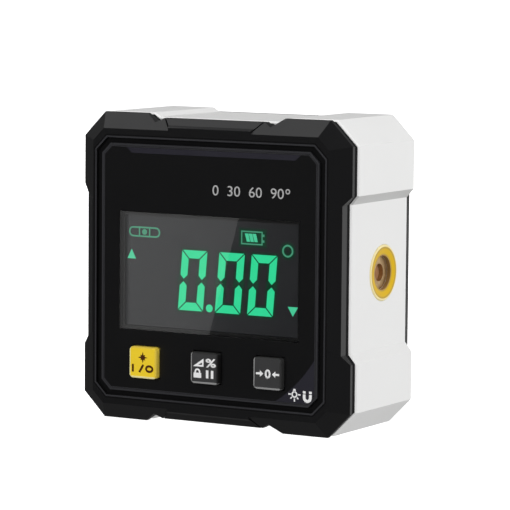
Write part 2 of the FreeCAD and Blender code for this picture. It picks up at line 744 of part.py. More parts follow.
def cut_cross(screws, places, heads_back):
    """Cross recess in each screw head."""
    for half_long, half_tall in (("cross_length / 2", "cross_width / 2"), ("cross_width / 2", "cross_length / 2")):
        bars = [box_outline(f"{across} - {half_long}", f"{across} + {half_long}",
                            f"{up} - {half_tall}", f"{up} + {half_tall}") for across, up in places]
        cut(screws, f"{heads_back} - cross_depth", f"{heads_back} + overrun", bars)


def make_housing():
    """White shell: one outline from front to back, hollow, with corner bosses and the laser seat."""
    housing = body("mid_housing")
    slab(housing, JOINT, HOUSING_BACK, [housing_outline()])
    ends = (value(JOINT), value(HOUSING_BACK))
    soften(housing, "Chamfer", "edge_chamfer", lambda edge: any(all(
        abs(point.Point.y - end) < Part.Precision.confusion() for point in edge.Vertexes) for end in ends))
    inner = cut_corners(INNER_WIDE, INNER_HIGH, "inner_corner_cut")
    cut(housing, f"{JOINT} - overrun", f"{HOUSING_BACK} + overrun", [inner])
    slab(housing, POST_END, COVER_INNER, circles=circles_at(BOSS_PLACES, "boss_radius"))
    bores = circles_at(BOSS_PLACES, "case_screw_radius + case_screw_gap")
    cut(housing, f"{POST_END} - overrun", f"{COVER_INNER} + overrun", circles=bores)

    # Boss, bore and ring seat for the laser in the right wall
    start = f"({INNER_WIDE} - laser_boss_length)"
    seat = sketch_on(housing, "YZ_Plane", start)
    add_circle(seat, LASER_DEPTH, "laser_rise", "laser_boss_radius")
    pad(housing, seat, "laser_boss_length + wall / 2", along_normal=True)
    bore = sketch_on(housing, "YZ_Plane", f"{start} - overrun")
    add_circle(bore, LASER_DEPTH, "laser_rise", "barrel_radius + laser_piece_gap")
    pocket(housing, bore, "laser_boss_length + wall + 2 * overrun", along_normal=True)
    counterbore = sketch_on(housing, "YZ_Plane", f"{WAIST} + ring_proud - ring_thickness")
    add_circle(counterbore, LASER_DEPTH, "laser_rise", "ring_radius + ring_gap")
    pocket(housing, counterbore, "ring_thickness + overrun", along_normal=True)

    # Pockets for the magnets in the two lower foot faces
    under = sketch_on(housing, "XY_Plane", f"-{HIGH} - overrun")
    for across, back in magnet_places():
        add_circle(under, across, back, f"{MAGNET_RADIUS} + magnet_gap")
    pocket(housing, under, "overrun + magnet_sink + magnet_thickness", along_normal=True)
    return housing


def magnet_places():
    """Centres of the four magnets, seen from below."""
    return [(f"{side} * {EAR_MIDDLE}", f"({JOINT} + housing_depth * {back})") for side in (-1, 1)
            for back in ("magnet_place_share", "(1 - magnet_place_share)")]


def make_magnets():
    """Four disc magnets in the foot faces."""
    magnets = body("base_magnets")
    sketch = sketch_on(magnets, "XY_Plane", f"magnet_sink - {HIGH}")
    for across, back in magnet_places():
        add_circle(sketch, across, back, MAGNET_RADIUS)
    pad(magnets, sketch, "magnet_thickness", along_normal=True)
    return magnets


def turned(label, points):
    """A body turned about the laser's axis: corners are places along X and radii."""
    piece = doc.addObject("PartDesign::Body", label)
    piece.Label = label
    bind(piece, "Placement.Base.y", f"{FACE_Y} + {LASER_DEPTH}")
    bind(piece, "Placement.Base.z", f"{MIDDLE_Z} + laser_rise")
    sketch = sketch_on(piece, "XY_Plane", "0")
    add_polygon(sketch, points)
    doc.recompute()
    feature = piece.newObject("PartDesign::Revolution", label + "_turned")
    feature.Profile = sketch
    feature.ReferenceAxis = (sketch, ["H_Axis"])
    feature.Angle = 360
    check_change(feature, 0.0, True)
    return piece


def make_laser():
    """Yellow dished ring, brass barrel, lens, diode and its small round board."""
    ring_out = f"({WAIST} + ring_proud)"
    ring_in = f"({ring_out} - ring_thickness)"
    ring = turned("laser_ring", [
        (ring_in, "ring_bore"), (ring_in, "ring_radius"), (f"{ring_out} - ring_proud", "ring_radius"),
        (ring_out, "ring_radius - ring_proud"), (ring_out, "ring_radius - ring_proud - ring_rim"),
        (f"{ring_out} - ring_dish", "ring_bore"),
    ])
    barrel_in = f"({ring_in} - ({ring_in} - {TRAY_RIGHT}) * barrel_reach_share)"
    stop = f"({ring_in} - barrel_front)"
    barrel = turned("laser_barrel", [
        (barrel_in, "barrel_bore"), (barrel_in, "barrel_radius"), (ring_in, "barrel_radius"),
        (ring_in, "aperture_radius"), (stop, "aperture_radius"), (stop, "barrel_bore"),
    ])
    lens_back = f"({stop} - laser_lens_thickness)"
    inside = "barrel_bore - laser_piece_gap"
    lens = turned("laser_lens", [(lens_back, "0"), (lens_back, inside), (stop, inside), (stop, "0")])
    board_in = f"({barrel_in} - laser_board_thickness)"
    board = turned("laser_board", [(board_in, "0"), (board_in, "laser_board_radius"),
                                   (barrel_in, "laser_board_radius"), (barrel_in, "0")])
    diode = turned("laser_diode", [(barrel_in, "0"), (barrel_in, "diode_radius"),
                                   (f"{barrel_in} + diode_length", "diode_radius"),
                                   (f"{barrel_in} + diode_length", "0")])
    return [ring, barrel, lens, board, diode]


def make_rear_cover():
    """Black back plate with a lip inside the housing and the tray that holds the two cells."""
    cover = body("rear_cover")
    slab(cover, HOUSING_BACK, BACK, [cut_corners(WAIST, MIDDLE_TOP, "plate_corner_cut")])
    slab(cover, COVER_INNER, HOUSING_BACK, [cut_corners(SPIGOT_WIDE, SPIGOT_HIGH, "inner_corner_cut")])
    tray = box_outline(f"-{TRAY_OFFSET} - {TRAY_HALF} - tray_wall", f"{TRAY_HALF} - {TRAY_OFFSET} + tray_wall",
                       f"-({TRAY_HIGH} + tray_wall)", f"{TRAY_HIGH} + tray_wall")
    slab(cover, TRAY_FRONT, COVER_INNER, [tray])
    inside = box_outline(f"-{TRAY_OFFSET} - {TRAY_HALF}", f"{TRAY_HALF} - {TRAY_OFFSET}", f"-{TRAY_HIGH}", TRAY_HIGH)
    cut(cover, TRAY_FLOOR, f"{BACK} + overrun", [inside])
    opening = box_outline(f"-{TRAY_OFFSET} - {DOOR_OPEN_HALF}", f"{DOOR_OPEN_HALF} - {TRAY_OFFSET}",
                          f"-{DOOR_OPEN_HIGH}", DOOR_OPEN_HIGH)
    cut(cover, DOOR_SEAT, f"{BACK} + overrun", [opening])

    # Holes and seats for the four case screws
    cut(cover, f"{COVER_INNER} - overrun", f"{BACK} + overrun",
        circles=circles_at(BOSS_PLACES, "case_screw_radius + case_screw_gap"))
    cut(cover, SCREW_SEAT, f"{BACK} + overrun", circles=circles_at(BOSS_PLACES, "case_screw_head + case_head_gap"))

    # Slots under the skin for the tongues of the door
    for side in (-1, 1):
        middle = f"({side} * tongue_across - {TRAY_OFFSET})"
        half = "(tongue_width / 2 + tongue_gap)"
        slot = box_outline(f"{middle} - {half}", f"{middle} + {half}",
                           f"-({DOOR_HIGH} + tongue_length + tongue_gap)", f"-({TRAY_HIGH} - overrun)")
        cut(cover, f"{COVER_INNER} - 2 * tongue_length", HOUSING_BACK, [slot])

    # Slots in the tray's floor for the tails of the two upper contacts
    for middle in (LEFT_CELL, RIGHT_CELL):
        half = "(tail_width / 2 + tail_slot_gap)"
        slot = box_outline(f"{middle} - {half}", f"{middle} + {half}",
                           f"{PLATE_FACE} - tail_slot_gap", f"{TRAY_HIGH}")
        cut(cover, f"{TRAY_FRONT} - overrun", f"{TRAY_FLOOR} + overrun", [slot])

    # Finger scoop above the latch of the door
    scoop = box_outline(f"-{TRAY_OFFSET} - scoop_width / 2", f"scoop_width / 2 - {TRAY_OFFSET}",
                        f"{DOOR_OPEN_HIGH} - overrun", f"{DOOR_OPEN_HIGH} + scoop_height")
    cut(cover, f"{BACK} - scoop_depth", f"{BACK} + overrun", [scoop])
    return cover


def make_battery_door():
    """Door over the cells, with two tongues at its lower edge and a sprung latch at its upper edge."""
    door = body("battery_door")
    low = f"-{DOOR_HIGH}"
    top = DOOR_HIGH
    slab(door, DOOR_SEAT, BACK, [box_outline(f"-{TRAY_OFFSET} - {DOOR_OPEN_HALF} + door_gap",
                                             f"{DOOR_OPEN_HALF} - {TRAY_OFFSET} - door_gap", low, top)])
    tongues = [box_outline(f"{side} * tongue_across - {TRAY_OFFSET} - tongue_width / 2",
                           f"{side} * tongue_across - {TRAY_OFFSET} + tongue_width / 2",
                           f"{low} - tongue_length", f"{low} + overrun") for side in (-1, 1)]
    slab(door, f"{TONGUE_BACK} - tongue_thickness", TONGUE_BACK, tongues)
    # The latch is a strip of the door between two slots, with a low bump on its end
    slots = []
    for side in (-1, 1):
        near = f"(-{TRAY_OFFSET} + {side} * latch_width / 2)"
        far = f"(-{TRAY_OFFSET} + {side} * (latch_width / 2 + latch_slot))"
        ends = (near, far) if side > 0 else (far, near)
        slots.append(box_outline(ends[0], ends[1], f"{top} - latch_length", f"{top} + overrun"))
    cut(door, f"{DOOR_SEAT} - overrun", f"{BACK} + overrun", slots)
    bump = box_outline(f"-{TRAY_OFFSET} - latch_width / 2", f"latch_width / 2 - {TRAY_OFFSET}",
                       f"{top} - overrun", f"{top} + latch_bump")
    slab(door, DOOR_SEAT, f"{DOOR_SEAT} + tongue_thickness", [bump])
    # Grip lines on the latch
    for step in (1, 2, 3):
        height = f"({top} - {step} * grip_pitch)"
        line = box_outline(f"-{TRAY_OFFSET} - grip_length / 2", f"grip_length / 2 - {TRAY_OFFSET}",
                           f"{height} - grip_width", height)
        cut(door, f"{BACK} - grip_depth", f"{BACK} + overrun", [line])
    return door


def make_cell(label, across, level):
    """One AAA cell that stands upright; level 1 has its positive end up."""
    cell = body(label)
    nub_tip = f"({PLATE_FACE} - dimple_height)"
    shoulder = f"({nub_tip} - nub_length)"
    for height, length, radius in ((f"{shoulder} - {CELL_LENGTH}", CELL_LENGTH, "cell_radius"),
                                   (shoulder, "nub_length", "nub_radius")):
        start = height if level > 0 else f"-({height} + {length})"
        sketch = sketch_on(cell, "XY_Plane", start)
        add_circle(sketch, across, CELL_DEPTH, radius)
        pad(cell, sketch, length, along_normal=True)
    return cell


def contact_plate(piece, left, right, level):
    """Flat plate of a battery contact against the end wall of the tray."""
    ends = (PLATE_FACE, TRAY_HIGH) if level > 0 else (f"-{TRAY_HIGH}", f"-{PLATE_FACE}")
    slab(piece, f"{CELL_DEPTH} - contact_width / 2", f"{CELL_DEPTH} + contact_width / 2",
         [box_outline(left, right, *ends)])


def contact_dimple(piece, across, level):
    """Raised spot that touches the nub of a cell."""
    start = f"{PLATE_FACE} - dimple_height" if level > 0 else f"-{PLATE_FACE}"
    sketch = sketch_on(piece, "XY_Plane", start)
    add_circle(sketch, across, CELL_DEPTH, "dimple_radius")
    pad(piece, sketch, "dimple_height", along_normal=True)


def contact_leaf(piece, across, level):
    """Bent leaf spring that presses on the flat end of a cell."""
    half = "(contact_width / 2)"
    crown = "(dimple_radius)"
    foot = f"({PLATE_FACE})"
    tip = f"({PLATE_FACE} - leaf_height)"
    outer = [(f"{across} - {half}", foot), (f"{across} - {crown}", tip), (f"{across} + {crown}", tip),
             (f"{across} + {half} - leaf_thickness", f"{foot} - leaf_thickness")]
    inner = [(f"{across} + {half} - 2 * leaf_thickness", f"{foot} - leaf_thickness"),
             (f"{across} + {crown} - leaf_thickness / 2", f"{tip} + leaf_thickness"),
             (f"{across} - {crown} + leaf_thickness / 2", f"{tip} + leaf_thickness"),
             (f"{across} - {half} + leaf_thickness", foot)]
    points = [(place, f"{level} * ({height})") for place, height in outer + inner]
    slab(piece, f"{CELL_DEPTH} - tail_width", f"{CELL_DEPTH} + tail_width", [points])


def contact_tail(piece, across):
    """Tail that runs forward from a contact plate to the back of the board."""
    slab(piece, BOARD_BACK, f"{CELL_DEPTH} - contact_width / 2",
         [box_outline(f"{across} - tail_width / 2", f"{across} + tail_width / 2", PLATE_FACE, TRAY_HIGH)])


def make_contacts():
    """Positive and negative contacts at the top, and the plate that bridges the cells at the bottom."""
    positive = body("positive_contact")
    contact_plate(positive, f"{LEFT_CELL} - contact_width / 2", f"{LEFT_CELL} + contact_width / 2", 1)
    contact_dimple(positive, LEFT_CELL, 1)
    contact_tail(positive, LEFT_CELL)
    negative = body("negative_contact")
    contact_plate(negative, f"{RIGHT_CELL} - contact_width / 2", f"{RIGHT_CELL} + contact_width / 2", 1)
    contact_leaf(negative, RIGHT_CELL, 1)
    contact_tail(negative, RIGHT_CELL)
    bridge = body("bridge_contact")
    contact_plate(bridge, f"{LEFT_CELL} - contact_width / 2", f"{RIGHT_CELL} + contact_width / 2", -1)
    contact_dimple(bridge, RIGHT_CELL, -1)
    contact_leaf(bridge, LEFT_CELL, -1)
    return [positive, negative, bridge]


def make_case_screws():
    """Four long screws that pull the rear cover, the housing and the bezel together."""
    screws = body("case_screws")
    heads_back = f"({SCREW_SEAT} + case_screw_head_height)"
    slab(screws, SCREW_TIP, SCREW_SEAT, circles=circles_at(BOSS_PLACES, "case_screw_radius"))
    slab(screws, SCREW_SEAT, heads_back, circles=circles_at(BOSS_PLACES, "case_screw_head"))
    cut_cross(screws, BOSS_PLACES, heads_back)
    return screws


def make_all():
    """Every sub-part, in the order in which the box is put together."""
    power_place, hold_place, zero_place = key_places()
    pieces = [make_front_bezel(), make_seal_ring(), make_front_panel()]
    pieces += make_display()
    pieces += [make_key("power_key", power_place), make_key("hold_key", hold_place), make_key("zero_key", zero_place)]
    for name, place in (("power", power_place), ("hold", hold_place), ("zero", zero_place)):
        pieces.append(make_switch(name + "_switch", place))
        pieces.append(make_plunger(name + "_plunger", place))
    pieces += make_board()
    pieces.append(make_board_screws())
    pieces.append(make_housing())
    pieces.append(make_magnets())
    pieces += make_laser()
    pieces.append(make_rear_cover())
    pieces.append(make_battery_door())
    pieces += [make_cell("left_cell", LEFT_CELL, 1), make_cell("right_cell", RIGHT_CELL, -1)]
    pieces += make_contacts()
    pieces.append(make_case_screws())
    return pieces


def write_parts(pieces):
    """Check the whole document, then write one STEP file for each sub-part."""
    doc.recompute()
    for thing in doc.Objects:
        if "Invalid" in thing.State or "Error" in thing.State:
            raise RuntimeError(f"{thing.Name} failed: {thing.State}")
    for piece in pieces:
        if piece.Shape.isNull() or not piece.Shape.isValid():
            raise RuntimeError(f"{piece.Label} has no valid shape")
    os.makedirs("parts", exist_ok=True)
    for piece in pieces:
        piece.Shape.exportStep(f"parts/{piece.Label}.step")
        box = piece.Shape.BoundBox
        print(f"{piece.Label}: {len(piece.Shape.Solids)} solid, {piece.Shape.Volume:.1f} mm3, "
              f"x {box.XMin:.2f} to {box.XMax:.2f}, y {box.YMin:.2f} to {box.YMax:.2f}, "
              f"z {box.ZMin:.2f} to {box.ZMax:.2f}")


write_parts(make_all())
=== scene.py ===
# %% [markdown]
# A pocket inclinometer, dressed for its picture
#
# The object is a square angle box of about 60 mm: a black eight-sided front frame, a white housing with
# stepped corner ears, a black back plate, a display with lit green digits, three square keys and a yellow
# laser opening in its side. The solids come from the CAD model, in their real size and place. This lesson
# gives each the finish of the real piece, adds what is printed or lit, and sets camera, floor and lights.

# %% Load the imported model
import math

import bmesh
import bpy
from mathutils import Matrix, Vector
from mathutils.geometry import tessellate_polygon


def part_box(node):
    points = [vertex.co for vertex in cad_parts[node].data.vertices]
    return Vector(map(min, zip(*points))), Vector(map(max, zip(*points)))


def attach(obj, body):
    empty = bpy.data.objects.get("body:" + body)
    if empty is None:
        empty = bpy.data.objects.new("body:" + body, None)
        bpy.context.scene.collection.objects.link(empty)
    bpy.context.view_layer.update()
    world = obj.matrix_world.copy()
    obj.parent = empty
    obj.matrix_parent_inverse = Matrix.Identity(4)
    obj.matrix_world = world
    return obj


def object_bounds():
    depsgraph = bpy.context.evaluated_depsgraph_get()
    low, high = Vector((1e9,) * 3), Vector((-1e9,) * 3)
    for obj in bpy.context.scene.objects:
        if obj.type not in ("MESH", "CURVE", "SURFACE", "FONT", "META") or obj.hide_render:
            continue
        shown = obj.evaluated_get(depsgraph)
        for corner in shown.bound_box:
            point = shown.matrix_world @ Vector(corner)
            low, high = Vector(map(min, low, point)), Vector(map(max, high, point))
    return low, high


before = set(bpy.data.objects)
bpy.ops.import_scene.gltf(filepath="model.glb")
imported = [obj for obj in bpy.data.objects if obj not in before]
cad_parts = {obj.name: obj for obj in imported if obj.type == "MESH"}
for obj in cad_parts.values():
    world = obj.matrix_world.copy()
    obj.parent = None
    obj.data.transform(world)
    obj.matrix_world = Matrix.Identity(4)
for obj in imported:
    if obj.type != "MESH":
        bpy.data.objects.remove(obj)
MM = 0.001
cad_low, cad_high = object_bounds()
print("CAD box in mm:", [round(side / MM, 2) for side in cad_high - cad_low])

# %% [markdown]
# The camera
#
# A photograph of a small product is usually taken with a long lens from well away, so that the box keeps
# square. We could frame the box by eye, but a camera with known angles puts every edge where the photograph
# has it. Three angles say where it looks: how far it has swung to the right of the face, how far it looks
# down, and a slight tilt of the horizon. Distance and focal length then set size and perspective.

# %% Camera
SWING = math.radians(30.184)
LOOK_DOWN = math.radians(5.783)
TILT = math.radians(0.465)
AIM = Vector((5.984, -6.115, 33.147)) * MM
DISTANCE = 602.7 * MM
FOCAL_LENGTH = 222.15
NEAREST, FARTHEST = 10 * MM, 30


def add_object(name, data):
    """Put a camera, a lamp or a mesh into the scene as an object."""
    thing = bpy.data.objects.new(name, data)
    bpy.context.scene.collection.objects.link(thing)
    return thing


def make_camera():
    """A long lens on the object's right, a little above it."""
    data = bpy.data.cameras.new("camera")
    data.lens = FOCAL_LENGTH
    data.clip_start = NEAREST
    data.clip_end = FARTHEST
    camera = add_object("camera", data)
    turn = Matrix.Rotation(SWING, 4, "Z") @ Matrix.Rotation(math.pi / 2 - LOOK_DOWN, 4, "X")
    turn = turn @ Matrix.Rotation(TILT, 4, "Z")
    backwards = turn @ Vector((0, 0, 1))
    camera.matrix_world = Matrix.Translation(AIM + backwards * DISTANCE) @ turn
    bpy.context.scene.camera = camera
    return camera


camera = make_camera()
print("camera stands at", [round(place / MM, 1) for place in camera.matrix_world.translation], "mm")

# %% [markdown]
# Shader maths
#
# A finish varies over a surface: grain, wear, turned rings. Blender builds that from nodes, and a formula of a
# few terms is already a dozen nodes and links. It reads much better as a formula, so one small class wraps a
# socket and turns arithmetic into Math nodes. A second class holds one node tree and adds any other kind of
# node. The third is a finish: a material whose plain values sit straight on its surface shader.

# %% Sockets that can be written in formulas


class Reading:
    """The output of a node, with arithmetic."""

    def __init__(self, tree, socket):
        self.tree = tree
        self.socket = socket

    def maths(self, operation, first, second):
        return self.tree.add("ShaderNodeMath", {"operation": operation}, {0: first, 1: second})

    def __add__(self, other):
        return self.maths("ADD", self, other)

    def __radd__(self, other):
        return self.maths("ADD", other, self)

    def __sub__(self, other):
        return self.maths("SUBTRACT", self, other)

    def __rsub__(self, other):
        return self.maths("SUBTRACT", other, self)

    def __mul__(self, other):
        return self.maths("MULTIPLY", self, other)

    def __rmul__(self, other):
        return self.maths("MULTIPLY", other, self)

    def __abs__(self):
        return self.maths("ABSOLUTE", self, 0)

    def __gt__(self, other):
        return self.maths("GREATER_THAN", self, other)

    def or_more(self, other):
        return self.maths("MAXIMUM", self, other)


class Tree:
    """A node tree of a material or of the surroundings."""

    def __init__(self, node_tree):
        self.nodes = node_tree.nodes
        self.links = node_tree.links

    def feed(self, socket, source):
        """Link a reading to a socket, or set a plain value on it."""
        if isinstance(source, Reading):
            self.links.new(source.socket, socket)
        else:
            socket.default_value = source

    def add(self, kind, settings=None, inputs=None, output=0):
        """Add one node: its settings first, then its sockets."""
        node = self.nodes.new(kind)
        for name, setting in (settings or {}).items():
            setattr(node, name, setting)
        for name, source in (inputs or {}).items():
            self.feed(node.inputs[name], source)
        return Reading(self, node.outputs[output])

    def soft_step(self, value, low, high):
        """0 below low, 1 above high, and smooth between them."""
        return self.add("ShaderNodeMapRange", {"interpolation_type": "SMOOTHSTEP"},
                        {"Value": value, "From Min": low, "From Max": high})


class Finish(Tree):
    """A material for one of the object's surfaces."""

    def __init__(self, name, sockets):
        self.material = bpy.data.materials.new(name)
        self.material.use_nodes = True
        super().__init__(self.material.node_tree)
        self.surface = self.nodes["Principled BSDF"]
        for socket, value in sockets.items():
            self.vary(socket, value)

    def vary(self, socket, source):
        """Set one socket of the surface, or let it follow a reading."""
        self.feed(self.surface.inputs[socket], source)

    def current(self, socket):
        """The reading that a socket of the surface follows so far."""
        return Reading(self, self.surface.inputs[socket].links[0].from_socket)

    def place(self):
        """Where a point is, in metres, in the object's own frame."""
        return self.add("ShaderNodeTexCoord", output="Object")

    def along(self, axis):
        """One coordinate of the place: X, Y or Z."""
        return self.add("ShaderNodeSeparateXYZ", inputs={0: self.place()}, output=axis)

    def facing(self, axis):
        """How far the surface itself faces along an axis of the object, from -1 to 1."""
        normal = self.add("ShaderNodeTexCoord", output="Normal")
        return self.add("ShaderNodeSeparateXYZ", inputs={0: normal}, output=axis)

    def speckle(self, size, detail=2):
        """Soft random blotches of about that size, from 0 to 1."""
        sockets = {"Vector": self.place(), "Scale": 1 / size, "Detail": detail}
        return self.add("ShaderNodeTexNoise", inputs=sockets)

    def blend(self, first, second, mask):
        """A colour that goes from the first to the second with the mask."""
        first, second = (tone if isinstance(tone, Reading) else (*tone, 1) for tone in (first, second))
        return self.add("ShaderNodeMix", {"data_type": "RGBA"}, {0: mask, 6: first, 7: second}, output=2)

    def cloudy(self, dim, bright, size, roughness=None, uneven=0.0, detail=2):
        """Let the colour, and the roughness if asked, wander a little in soft blotches of a size."""
        cloud = self.speckle(size, detail)
        self.vary("Base Color", self.blend(dim, bright, cloud))
        if roughness is not None:
            self.vary("Roughness", roughness + cloud * uneven)

    def emboss(self, height, depth, strength):
        """Let a reading of 0 to 1 raise the surface by up to depth."""
        bump = self.add("ShaderNodeBump", inputs={"Height": height, "Distance": depth, "Strength": strength})
        self.vary("Normal", bump)


print("shader maths is ready")

# %% [markdown]
# Floor and surroundings
#
# The box stands on a plain pale floor that fills the whole picture. A photographer lights such a floor by
# itself until it is pure white and its shadows fade, and so the floor here shines a little. It is left out of
# reflections, as if black card lay just outside the view, because a glossy black panel is only black when it
# mirrors something dark. The surroundings do the rest. To matt surfaces they are an even pale room that is
# brighter below, for what a white floor throws up, and the floor casts no shadow, so that this light comes
# through it. In reflections they are a white ceiling and a white wall behind, and dark elsewhere. The black
# frame then shows its top bevels and the sides of its waists grey, and its front deep black.

# %% Floor and surroundings
FLOOR_SIZE = 16.0
FLOOR_SPOT = 0.4
FLOOR_SHINE = 0.92
EVEN_LIGHT = 0.31
BOUNCED_LIGHT = 0.42
FRONT_LIGHT, BACK_LIGHT, UNDER_LIGHT = 0.045, 0.2, 0.09
CEILING, CEILING_EDGE, CEILING_LIGHT = (-0.45, 0.1, 0.89), (0.74, 0.96), 1.38
WALL, WALL_EDGE, WALL_LIGHT = (0.5, 0.86, -0.1), (0.75, 0.92), 0.95
BACKWARDS, DOWN = (0, 1, 0), (0, 0, -1)
BACK_EDGE, UNDER_EDGE, BOUNCE_EDGE = (0.0, 0.8), (0.5, 0.9), (0.1, 1.0)


def make_floor():
    """A plain pale floor, far larger than the view."""
    mesh = bpy.data.meshes.new("floor")
    half = FLOOR_SIZE / 2
    corners = [(-half, -half, 0), (half, -half, 0), (half, half, 0), (-half, half, 0)]
    mesh.from_pydata(corners, [], [(0, 1, 2, 3)])
    floor = add_object("floor", mesh)
    finish = Finish("pale_floor", {"Roughness": 0.9, "Specular IOR Level": 0.0,
                                   "Emission Strength": FLOOR_SHINE, "Emission Color": (1, 1, 1, 1)})
    finish.cloudy((0.88, 0.88, 0.88), (0.92, 0.92, 0.92), FLOOR_SPOT)
    mesh.materials.append(finish.material)
    for ray in ("glossy", "diffuse", "transmission", "shadow"):
        setattr(floor, "visible_" + ray, False)


def make_surroundings():
    """Even light for what is matt, and a white ceiling and back wall for what is glossy."""
    world = bpy.data.worlds.new("studio")
    world.use_nodes = True
    bpy.context.scene.world = world
    tree = Tree(world.node_tree)
    direction = tree.add("ShaderNodeTexCoord", output="Generated")

    def towards(way, starts, full):
        """1 where a ray goes nearly that way, 0 where it goes elsewhere."""
        likeness = tree.add("ShaderNodeVectorMath", {"operation": "DOT_PRODUCT"},
                            {0: direction, 1: Vector(way).normalized()}, output="Value")
        return tree.soft_step(likeness, starts, full)

    mirrored = FRONT_LIGHT + towards(BACKWARDS, *BACK_EDGE) * (BACK_LIGHT - FRONT_LIGHT)
    mirrored = mirrored + towards(DOWN, *UNDER_EDGE) * UNDER_LIGHT
    mirrored = mirrored.or_more(towards(CEILING, *CEILING_EDGE) * CEILING_LIGHT)
    mirrored = mirrored.or_more(towards(WALL, *WALL_EDGE) * WALL_LIGHT)
    room = EVEN_LIGHT + towards(DOWN, *BOUNCE_EDGE) * BOUNCED_LIGHT
    for ray, light in (("Is Diffuse Ray", room), ("Is Camera Ray", 1.0)):
        seen = tree.add("ShaderNodeLightPath", output=ray)
        mirrored = mirrored + seen * (light - mirrored)
    tree.feed(tree.nodes["Background"].inputs["Color"], (1, 1, 1, 1))
    tree.feed(tree.nodes["Background"].inputs["Strength"], mirrored)


make_floor()
make_surroundings()
bpy.context.scene.view_settings.view_transform = "Standard"
print("floor shines", FLOOR_SHINE, "even light", EVEN_LIGHT)

# %% [markdown]
# Lamps
#
# Four large soft boxes model the form. One stands on the right and lights the white side, one stands in front
# and lights the keys and the printed signs, one hangs overhead for the upper faces, and one stands behind on
# the left, so that the back can be looked at too. They are large for their distance, so that their shadows are
# soft. A lamp's power follows from the brightness that we want on a white card at the object and the square of
# the distance.

# %% Soft boxes
SOFT_BOX_HEIGHT = 0.6


def add_lamp(name, width, height, power, place):
    """A rectangular lamp that the camera doesn't see."""
    data = bpy.data.lights.new(name, "AREA")
    data.shape = "RECTANGLE"
    data.size = width
    data.size_y = height
    data.energy = power
    lamp = add_object(name, data)
    lamp.matrix_world = place
    lamp.visible_camera = False
    print(name, "takes", round(power, 2), "W")
    return lamp


def make_soft_box(name, direction, distance, width, card_light):
    """A large lamp that looks at the middle of the object and gives a white card there a known brightness."""
    away = Vector(direction).normalized()
    place = Matrix.Translation(AIM + away * distance) @ away.to_track_quat("Z", "Y").to_matrix().to_4x4()
    lamp = add_lamp(name, width, SOFT_BOX_HEIGHT, card_light * (math.pi * distance) ** 2, place)
    lamp.visible_glossy = False
    lamp.visible_transmission = False


for name, direction, distance, width, card_light in (
        ("right_soft_box", (0.95, -0.05, 0.35), 0.9, 0.5, 0.66),
        ("front_soft_box", (-0.25, -1.0, 0.35), 1.0, 0.6, 0.52),
        ("upper_soft_box", (0.1, 0.35, 1.0), 0.9, 0.6, 0.15),
        ("back_soft_box", (-0.8, 0.65, 0.02), 0.9, 0.5, 0.5)):
    make_soft_box(name, direction, distance, width, card_light)

# %% [markdown]
# Edges that catch the light
#
# No moulded edge is knife sharp, and the thin bright line along an edge is what tells the eye that it looks at
# a real thing. The CAD solids keep their few large bevels, and the last tenth of a millimetre is left to
# Blender. A Weld modifier joins the corners that the import has split, and a Bevel modifier then rounds every
# edge that turns by more than 25 degrees. The mesh itself stays as it is.

# %% Dress the CAD nodes
EDGE_TURN = math.radians(25)
JOIN_WITHIN = 0.002 * MM


def dress(finish, *nodes, edge=0.0):
    """Give CAD nodes their finish, and round their edges by a width in millimetres."""
    for thing in (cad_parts[node] for node in nodes):
        thing.material_slots[0].material = finish.material
        if edge > 0:
            weld = thing.modifiers.new("weld", "WELD")
            weld.merge_threshold = JOIN_WITHIN
            bevel = thing.modifiers.new("edge", "BEVEL")
            bevel.width = edge * MM
            bevel.segments = 2
            bevel.limit_method = "ANGLE"
            bevel.angle_limit = EDGE_TURN
            bevel.harden_normals = True


# %% [markdown]
# Moulded plastics
#
# The frame, the housing and the back plate are injection moulded, and the mould gives them a fine even grain
# like very fine sandpaper. A flat colour would look like paper. Two noises do it: a fine one as a bump for the
# grain, and a broad faint one in the roughness, because no moulded face is equally dull all over. A few faces
# differ, and the way that a surface faces picks them out: the frame's steep upper facets are duller, the
# housing's front chamfer gets a painted highlight, and the hollows under its upper ears get painted shade. The
# back plate keeps its sharp edges, because a bevel between its many openings would leave thin lines across its
# large flat face.

# %% Moulded plastics
GRAIN_SIZE = 0.22 * MM
GRAIN_DEPTH = 0.012 * MM
CLOUD_SIZE = 14 * MM
UNEVEN = 0.12


def grain(finish, strength):
    """The fine grain that a mould leaves."""
    finish.emboss(finish.speckle(GRAIN_SIZE, detail=3), GRAIN_DEPTH, strength)


def moulded(name, dark, light, roughness, sheen=0.5):
    """Satin plastic between two close tones, with a fine grain."""
    finish = Finish(name, {"Specular IOR Level": sheen})
    finish.cloudy(dark, light, CLOUD_SIZE, roughness - UNEVEN / 2, UNEVEN)
    grain(finish, 0.5)
    return finish


SATIN_BLACKS = (0.0068, 0.0068, 0.0072), (0.0086, 0.0086, 0.0094)
STEEP_FACING, STEEP_DULLING = (0.8, 0.88), 0.35
FRONT_FACING = (0.35, 0.6)
UNDER_FACING = (0.2, 0.4)
UPPER_PART = (0.6 * cad_high.z, 0.7 * cad_high.z)

black_satin = moulded("black_satin_plastic", *SATIN_BLACKS, 0.42)
bezel_satin = moulded("bezel_satin_plastic", *SATIN_BLACKS, 0.42)
steep = bezel_satin.soft_step(bezel_satin.facing("Z"), *STEEP_FACING)
bezel_satin.vary("Roughness", bezel_satin.current("Roughness") + steep * STEEP_DULLING)

